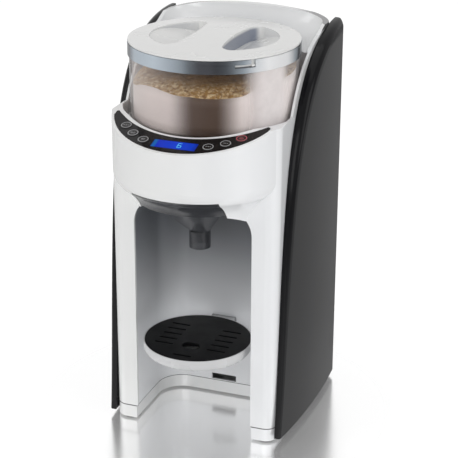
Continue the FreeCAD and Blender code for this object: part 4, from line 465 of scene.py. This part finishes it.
# Painted reflection: a dark band round the front of the powder's side; painted light: its right side is
# paler. The streaks and specks are its own tone.
side_powder = Finish("powder_side", POWDER_PALE, 0.6)
turn_at = side_powder.bearing()
off_band = (turn_at - BAND_MIDDLE).size()
beside_dark_band = off_band.clamped(BAND_HALF - BAND_SOFT / 2, BAND_HALF + BAND_SOFT)
streak = side_powder.noise(70, 4, 0.6)
fine = side_powder.noise(1500, 2)
tinted = side_powder.mix(streak, POWDER_PALE, POWDER_DULL)
painted_lit_right = side_powder.mix(turn_at.clamped(radians(24), radians(52)), tinted, POWDER_LIT)
dusted = side_powder.mix(fine * 0.12, painted_lit_right, POWDER_SPECK)
side_powder.feed("Base Color", side_powder.mix(beside_dark_band, POWDER_DARK_REFLECTION, dusted))
side_powder.relief(fine, 0.05 * mm)

POWDER_GRAIN = (0.60, 0.42, 0.20)
GRAIN_DARK = (0.40, 0.21, 0.05)
GRAIN_PALE = (0.80, 0.62, 0.36)
GRAIN_GAP_SHADE = (0.24, 0.12, 0.035)
GRAIN_MIDDLE_SHADE = (0.20, 0.105, 0.03)
grain = Finish("powder_grains", POWDER_GRAIN, 0.85)
clump = grain.place.node("TexVoronoi", {}, {"Vector": grain.place, "Scale": 400.0}, "Distance")
cloud = grain.noise(260, 4, 0.65)
speckle = grain.mix(cloud.clamped(0.40, 0.66), GRAIN_DARK, GRAIN_PALE)
# Painted shade darkens the gaps between the clumps.
crumbs = grain.mix(clump.clamped(0.45, 0.95), speckle, GRAIN_GAP_SHADE)
# Painted shade darkens the middle of the heap, away from the bowl's wall.
inner = 1 - grain.reach().clamped(46 * mm, 68 * mm)
grain.feed("Base Color", grain.mix(inner, crumbs, GRAIN_MIDDLE_SHADE))
grain.relief(cloud - clump * 0.5, 0.7 * mm)

piece("formula_powder", "container", side_powder)
fill.data.materials.append(grain.material)
for face in fill.data.polygons:
    if face.normal.z > 0.25 and face.center.z > POWDER_TOP - 12 * mm:
        face.material_index = 1
    face.use_smooth = True

# ---------------------------------------------------------------- lid
# White lid with two finger hollows and a silicone gasket; it locks under the collar.
# Painted shade darkens the hollows' flanks that face right, the left hollow's only slightly.

LID_WHITE = (0.78, 0.78, 0.775)
LID_BRIGHT = (0.83, 0.83, 0.815)
HOLLOW_SHADE = (0.26, 0.285, 0.35)
HOLLOW_REACH = 60 * mm
LEFT_SHARE = 0.35
lid = Finish("lid_white_gloss", LID_WHITE, 0.25, Coat_Weight=0.2, Coat_Roughness=0.1)
lid.skin(0.22, 0.32)
lid_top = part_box("lid")[1].z
within = 1 - lid.reach().clamped(HOLLOW_REACH, HOLLOW_REACH + 3 * mm)
away = lid.x.clamped(-10 * mm, 10 * mm) * (1 - LEFT_SHARE) + LEFT_SHARE
flank_shade = lid.to_x.clamped(0.25, 0.75) * (lid_top - lid.z).clamped(1.2 * mm, 4 * mm) * within * away
lid_white = lid.mix(lid.noise(9, 3), LID_BRIGHT, LID_WHITE)
lid.feed("Base Color", lid.mix(flank_shade, lid_white, HOLLOW_SHADE))
dress(lid, "lid")

silicone = Finish("silicone_grey", (0.20, 0.205, 0.21), 0.5)
silicone.moulded((0.9, 0.9, 0.92), 0.42, 0.6, 0.05 * mm)
dress(silicone, "lid_gasket", "tank_valve")

# ---------------------------------------------------------------- control panel
# Crescent of black gloss acrylic over the deck, a lit display and six soft buttons.

ACRYLIC_BLACK = (0.007, 0.006, 0.006)
acrylic = Finish("panel_black_acrylic", ACRYLIC_BLACK, 0.08, Specular_IOR_Level=0.14)
smear = acrylic.noise(55, 4).clamped(0.45, 0.75)
acrylic.feed("Roughness", smear * 0.10 + 0.06)
acrylic.feed("Base Color", acrylic.mix(acrylic.noise(24, 2), ACRYLIC_BLACK, (0.011, 0.009, 0.009)))
acrylic.relief(acrylic.noise(30, 1), 0.03 * mm)
dress(acrylic, "control_panel")

button_black = Finish("button_black_satin", (0.010, 0.009, 0.009), 0.3, Specular_IOR_Level=0.25)
button_black.moulded((1.4, 1.35, 1.35), 0.26, 0.38, 0.03 * mm)
BUTTONS = [side + "_" + place for side in ("left", "right") for place in ("outer", "middle", "inner")]
dress(button_black, *("button_" + name for name in BUTTONS))

DECK_TILT = radians(14.6)
window_low, window_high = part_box("display_window")
DISPLAY_BLUE = (0.004, 0.035, 0.75)
DISPLAY_CYAN = (0.01, 0.20, 0.62)
glow = Finish("display_lit_lens", (0.004, 0.008, 0.02), 0.1, Specular_IOR_Level=0.06, Emission_Strength=0.62)
across = (glow.x - window_low.x) * (1 / (window_high.x - window_low.x))
lit = glow.place.node("ValToRGB", {"stops": (
    (0.0, (0.005, 0.05, 0.30)), (0.03, DISPLAY_CYAN), (0.07, DISPLAY_CYAN), (0.11, DISPLAY_BLUE),
    (0.60, (0.004, 0.07, 0.95)), (0.90, (0.004, 0.06, 0.80)), (1.0, (0.003, 0.03, 0.45)))},
    {"Fac": across})
pixel = glow.noise(900, 1)
glow.feed("Emission Color", glow.mix(pixel * 0.25, lit, (0.0, 0.02, 0.45)))
dress(glow, "display_window")

RING_SILVER = (0.40, 0.40, 0.41)
RING_RED = (0.60, 0.11, 0.14)
ink_silver = Finish("ink_silver", RING_SILVER, 0.35)
ink_silver.moulded((0.9, 0.9, 0.9), 0.3, 0.42)
ink_red = Finish("ink_red", RING_RED, 0.35)
ink_red.moulded((0.9, 0.85, 0.85), 0.3, 0.42)

RING_OUT = 4.5 * mm
RING_WIDE = 0.62 * mm
INK_THICK = 0.12 * mm
INK_LIFT = 0.02 * mm

# Each mark is a few bars, given in millimetres: across and up from the cap's centre, long, wide.

MARKS = {
    "left_outer": ((-1.9, 0.0, 1.5, 0.5), (0.0, 0.0, 0.5, 1.7), (1.9, 0.0, 1.5, 0.5)),
    "left_middle": ((-1.5, 0.5, 2.2, 0.5), (1.2, 0.5, 1.6, 0.5), (0.0, -0.7, 3.6, 0.5)),
    "left_inner": ((0.0, 0.9, 3.2, 0.5), (-1.2, -0.2, 0.5, 1.4), (0.2, -0.4, 2.2, 0.5)),
    "right_inner": ((-1.8, 0.3, 1.2, 0.5), (0.2, 0.3, 1.6, 0.5), (2.0, 0.3, 0.9, 0.5)),
    "right_middle": ((-0.9, 0.2, 2.6, 0.5), (1.5, 0.2, 1.0, 0.5)),
    "right_outer": ((0.0, 0.6, 0.5, 1.9), (-1.4, -0.2, 0.5, 1.6), (1.4, -0.2, 0.5, 1.6),
                    (0.0, -1.1, 2.6, 0.5)),
}
deck_turn = Matrix.Rotation(DECK_TILT, 4, "X")
DECK_UP = Vector((0, -sin(DECK_TILT), cos(DECK_TILT)))
FACE_BAND = 0.05 * mm


def cap_centre(name):
    """Middle of a CAD node's highest face, square to the tilted deck."""
    node = nodes[name]
    spots = [node.matrix_world @ vertex.co for vertex in node.data.vertices]
    top = max(spot.dot(DECK_UP) for spot in spots)
    rim = [spot for spot in spots if spot.dot(DECK_UP) > top - FACE_BAND]
    return sum(rim, Vector()) / len(rim)


def ring_blank(centre):
    """A thin upright band, thickened inward to a flat ring, lying on a button's tilted cap."""
    deselect()
    bpy.ops.mesh.primitive_cylinder_add(
        vertices=48, radius=RING_OUT, depth=INK_THICK, end_fill_type="NOTHING")
    made = bpy.context.active_object
    band = made.modifiers.new("band", "SOLIDIFY")
    band.thickness = RING_WIDE
    band.offset = -1
    bpy.ops.object.modifier_apply(modifier="band")
    made.matrix_world = Matrix.Translation(centre) @ deck_turn
    return made


def ink_bar(centre, place):
    """One raised bar of a button's mark, with softened ends."""
    across, up, long, wide = (value * mm for value in place)
    deselect()
    bpy.ops.mesh.primitive_cube_add(size=1)
    made = bpy.context.active_object
    bpy.ops.transform.resize(value=(long, wide, INK_THICK))
    bpy.ops.object.transform_apply(location=False, rotation=False, scale=True)
    bpy.ops.object.mode_set(mode="EDIT")
    bpy.ops.mesh.select_all(action="SELECT")
    bpy.ops.mesh.bevel(offset=0.05 * mm, segments=1)
    bpy.ops.object.mode_set(mode="OBJECT")
    made.matrix_world = Matrix.Translation(centre) @ deck_turn @ Matrix.Translation((across, up, 0))
    return made


def join(parts):
    """Makes one mesh of several, and leaves it the active object."""
    deselect()
    for part in parts:
        part.select_set(True)
    bpy.context.view_layer.objects.active = parts[0]
    bpy.ops.object.join()


for name in BUTTONS:
    ink_level = cap_centre("button_" + name) + DECK_UP * (INK_THICK / 2 + INK_LIFT)
    join([ring_blank(ink_level)] + [ink_bar(ink_level, place) for place in MARKS[name]])
    piece("button_mark_" + name, "button_" + name + "_body",
          ink_red if name == "right_outer" else ink_silver)

# The lit segments of the display's one digit, right of its middle.

segment_glow = Finish("display_segment", (0.02, 0.1, 0.2), 0.3, Emission_Strength=0.6)
segment_blue = segment_glow.mix(segment_glow.noise(700, 1), (0.05, 0.55, 1.0), (0.12, 0.75, 1.0))
segment_glow.feed("Emission Color", segment_blue)
DIGIT_AT = 0.62
DIGIT_WIDE = 3.0 * mm
DIGIT_HIGH = 6.0 * mm
SEGMENT = 0.75 * mm
window_top = cap_centre("display_window") + DECK_UP * (INK_THICK / 2 + INK_LIFT)
digit_x = (DIGIT_AT - 0.5) * (window_high.x - window_low.x) / mm
wide, high = DIGIT_WIDE / mm, DIGIT_HIGH / mm
bar = SEGMENT / mm
DIGIT = (
    (digit_x, high / 2, wide, bar), (digit_x, 0, wide, bar), (digit_x, -high / 2, wide, bar),
    (digit_x - wide / 2, high / 4, bar, high / 2), (digit_x - wide / 2, -high / 4, bar, high / 2),
    (digit_x + wide / 2, -high / 4, bar, high / 2),
)
join([ink_bar(window_top, place) for place in DIGIT])
piece("display_digit", "machine", segment_glow)

# ---------------------------------------------------------------- funnel
# Smoked translucent copolyester: the powder and the water meet in it.

SMOKE = (0.045, 0.047, 0.052)
smoke = Finish("funnel_smoke", SMOKE, 0.16, IOR=1.5)
smoke.feed("Roughness", smoke.noise(50, 3) * 0.12 + 0.10)
smoke.feed("Base Color", smoke.mix(smoke.noise(30, 3), SMOKE, (0.07, 0.072, 0.08)))
smoke.relief(smoke.noise(60, 2), 0.05 * mm)
smoke.clear(0.55, 1.0)
dress(smoke, "funnel")

# ---------------------------------------------------------------- drip tray
# White dish on a bracket that hooks into the back wall, with a black drain grid.

# Painted shade: the tray's white is kept greyer than the casing's, for the shade of the recess it sits in.
TRAY_SHADED_WHITE = (0.66, 0.665, 0.67)
tray = Finish("tray_white_satin", TRAY_SHADED_WHITE, 0.3)
tray.moulded((0.97, 0.97, 0.975), 0.26, 0.38, 0.03 * mm)
dress(tray, "drip_tray")
GRID_BLACK = (0.005, 0.005, 0.0055)
grid = Finish("grid_black_satin", GRID_BLACK, 0.38, Specular_IOR_Level=0.12)
grid.moulded((1.25, 1.25, 1.25), 0.32, 0.46, 0.04 * mm)
dress(grid, "tray_grid")

# ---------------------------------------------------------------- powder drive
# Acetal wheels and gears, a brass bush and a steel-cased motor, out of sight below the bowl.

acetal = Finish("acetal_white", (0.74, 0.74, 0.71), 0.4)
acetal.moulded((0.95, 0.95, 0.94), 0.34, 0.5, 0.04 * mm)
dress(acetal, "measuring_wheel", "stirring_wheel", "powder_scraper", "drive_gear", "motor_pinion",
      "drive_hub", "valve_cage")
brass = Finish("brass_turned", (0.72, 0.50, 0.20), 0.3, Metallic=1.0)
brass.moulded((0.9, 0.88, 0.85), 0.24, 0.4, 0.01 * mm)
dress(brass, "drive_bush")
steel = Finish("steel_plated", (0.55, 0.56, 0.57), 0.3, Metallic=1.0)
steel.moulded((0.85, 0.85, 0.86), 0.24, 0.42, 0.01 * mm)
dress(steel, "drive_motor", "heater", "base_screws", "rear_screws", "lid_pin", "valve_spring", "water_spout")

# ---------------------------------------------------------------- water side
# Clear tank with its lid at the back, pump, heater and silicone hoses inside.

tank_clear = Finish("tank_clear", (0.62, 0.70, 0.76), 0.08, IOR=1.5)
tank_clear.feed("Roughness", tank_clear.noise(50, 3) * 0.08 + 0.04)
tank_clear.relief(tank_clear.noise(40, 1), 0.06 * mm)
tank_clear.clear(0.14, 0.7)
dress(tank_clear, "water_tank")
dress(shell, "tank_lid")
hose = Finish("hose_silicone", (0.62, 0.64, 0.66), 0.35)
hose.moulded((0.93, 0.94, 0.95), 0.3, 0.45, 0.04 * mm)
dress(hose, "inlet_hose", "heater_hose", "spout_hose")

# The valve's coil spring stands for its CAD node.

COIL_TURNS = 4
COIL_RADIUS = 4.6 * mm
WIRE_RADIUS = 0.45 * mm
spring_low, spring_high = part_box("valve_spring")
spring_foot = Vector(((spring_low.x + spring_high.x) / 2, (spring_low.y + spring_high.y) / 2,
                      spring_low.z + WIRE_RADIUS))
deselect()
bpy.ops.mesh.primitive_circle_add(vertices=14, radius=WIRE_RADIUS, location=(COIL_RADIUS, 0, 0),
                                  rotation=(pi / 2, 0, 0))
coil = bpy.context.active_object
bpy.ops.object.transform_apply(location=True, rotation=True, scale=True)
winding = coil.modifiers.new("winding", "SCREW")
winding.iterations = COIL_TURNS
winding.screw_offset = (spring_high.z - spring_low.z - 2 * WIRE_RADIUS) / COIL_TURNS
winding.steps = 28
winding.render_steps = 28
winding.use_merge_vertices = False
bpy.ops.object.modifier_apply(modifier="winding")
bpy.ops.object.mode_set(mode="EDIT")
bpy.ops.mesh.select_all(action="SELECT")
bpy.ops.mesh.remove_doubles(threshold=0.001 * mm)
bpy.ops.mesh.fill_holes(sides=0)
bpy.ops.mesh.select_all(action="SELECT")
bpy.ops.mesh.normals_make_consistent(inside=False)
bpy.ops.mesh.faces_shade_smooth()
bpy.ops.object.mode_set(mode="OBJECT")
coil.location = spring_foot
piece("valve_coil", "tank", steel)
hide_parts("valve_spring")
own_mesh(coil)
pump = Finish("pump_black", (0.02, 0.02, 0.021), 0.45)
pump.moulded((1.2, 1.2, 1.2), 0.4, 0.52, 0.05 * mm)
dress(pump, "water_pump")

# ---------------------------------------------------------------- electrics, feet
# Circuit boards, the keypad mat, the cord gland and the rubber feet.

circuit = Finish("circuit_board", (0.01, 0.10, 0.04), 0.35)
tracks = circuit.place.node("TexVoronoi", {"distance": "MANHATTAN"},
                            {"Vector": circuit.place, "Scale": 260.0}, "Distance")
circuit.feed("Base Color", circuit.mix(tracks.clamped(0.35, 0.5), (0.008, 0.085, 0.035), (0.03, 0.18, 0.08)))
circuit.relief(tracks, 0.05 * mm)
dress(circuit, "control_board", "power_board", "display_module")
rubber = Finish("rubber_black", (0.012, 0.012, 0.012), 0.65)
rubber.moulded((1.5, 1.5, 1.5), 0.58, 0.74, 0.08 * mm)
dress(rubber, "cord_gland", "rubber_feet")
mat = Finish("keypad_mat", (0.12, 0.12, 0.125), 0.6)
mat.moulded((1.2, 1.2, 1.2), 0.52, 0.68, 0.06 * mm)
dress(mat, "keypad_mat")

# ---------------------------------------------------------------- studio
# Pale glossy floor that mirrors darker toward the camera, a white sky, four soft lamps, and
# the camera with a long lens.

FLOOR_HALF = 6
MIRROR_BEARING = radians(15)
MIRROR_DARK = (0.03, 0.03, 0.033)
MIRROR_EDGE = (radians(20), radians(40))
FADE_REACH = (0.11, 0.30)
deselect()
bpy.ops.mesh.primitive_plane_add(size=2 * FLOOR_HALF)
floor = bpy.context.active_object
floor.name = "floor"
FLOOR_WHITE = (0.92, 0.92, 0.92)
ground = Finish("floor_white", FLOOR_WHITE, 0.16, Emission_Strength=1.0)
light_path = ground.tree.nodes.new("ShaderNodeLightPath")
by_camera = Wire(ground.tree, light_path.outputs["Is Camera Ray"])
by_gloss = Wire(ground.tree, light_path.outputs["Is Glossy Ray"])
off_dark = (ground.bearing() - MIRROR_BEARING).size()
mirrored = by_gloss * (1 - off_dark.clamped(*MIRROR_EDGE))
ground.feed("Base Color", ground.mix(mirrored, FLOOR_WHITE, MIRROR_DARK))
fade = ground.reach().clamped(*FADE_REACH)
ground.feed("Metallic", 0.84 - fade * 0.64)
ground.feed("Emission Color", by_camera * (fade * 0.26 + 0.13))
ground.feed("Roughness", ground.noise(3, 2) * 0.04 + 0.17)
floor.data.materials.append(ground.material)
floor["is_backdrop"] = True

world = bpy.data.worlds.new("studio")
bpy.context.scene.world = world
world.use_nodes = True
sky = Wire(world.node_tree)
path = world.node_tree.nodes.new("ShaderNodeLightPath")
seen = [Wire(world.node_tree, path.outputs["Is " + kind + " Ray"])
        for kind in ("Camera", "Glossy", "Transmission")]
direct = seen[0] + seen[1] + seen[2]
DIFFUSE_SKY = 0.32
strength = direct.maths("MINIMUM", direct, 1.0) * (1 - DIFFUSE_SKY) + DIFFUSE_SKY
world.node_tree.links.new(strength.socket, world.node_tree.nodes["Background"].inputs["Strength"])
world.node_tree.nodes["Background"].inputs["Color"].default_value = (1, 1, 1, 1)


def softbox(name, place, target, wide, high, watts):
    """A large soft lamp that faces a point."""
    data = bpy.data.lights.new(name, "AREA")
    data.shape = "RECTANGLE"
    data.size = wide
    data.size_y = high
    data.energy = watts
    lamp = bpy.data.objects.new(name, data)
    bpy.context.scene.collection.objects.link(lamp)
    lamp.location = place
    lamp.rotation_euler = (Vector(target) - Vector(place)).to_track_quat("-Z", "Y").to_euler()
    return lamp


CENTRE = (0, -0.02, 0.18)
softbox("lamp_left", (-1.5, -1.1, 1.3), CENTRE, 1.0, 1.4, 8.5)
softbox("lamp_right", (1.6, -0.5, 1.0), CENTRE, 0.8, 1.4, 8)
softbox("lamp_top", (0.0, 0.1, 1.9), CENTRE, 1.4, 1.4, 6)
softbox("lamp_front", (0.2, -2.2, 0.9), CENTRE, 1.2, 1.2, 13)

CAMERA_AT = Vector((0.4462, -1.1955, 0.6728))
CAMERA_LENS = 117.28
CAMERA_SENSOR = 36
CAMERA_SHIFT = (0.0317, -0.0049)
camera_data = bpy.data.cameras.new("camera")
camera = bpy.data.objects.new("camera", camera_data)
bpy.context.scene.collection.objects.link(camera)
camera.location = CAMERA_AT
camera.rotation_euler = (Vector(CENTRE) - CAMERA_AT).to_track_quat("-Z", "Y").to_euler()
camera_data.lens = CAMERA_LENS
camera_data.sensor_width = CAMERA_SENSOR
camera_data.shift_x, camera_data.shift_y = CAMERA_SHIFT
bpy.context.scene.camera = camera
bpy.context.scene.view_settings.view_transform = "Standard"

low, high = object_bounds()
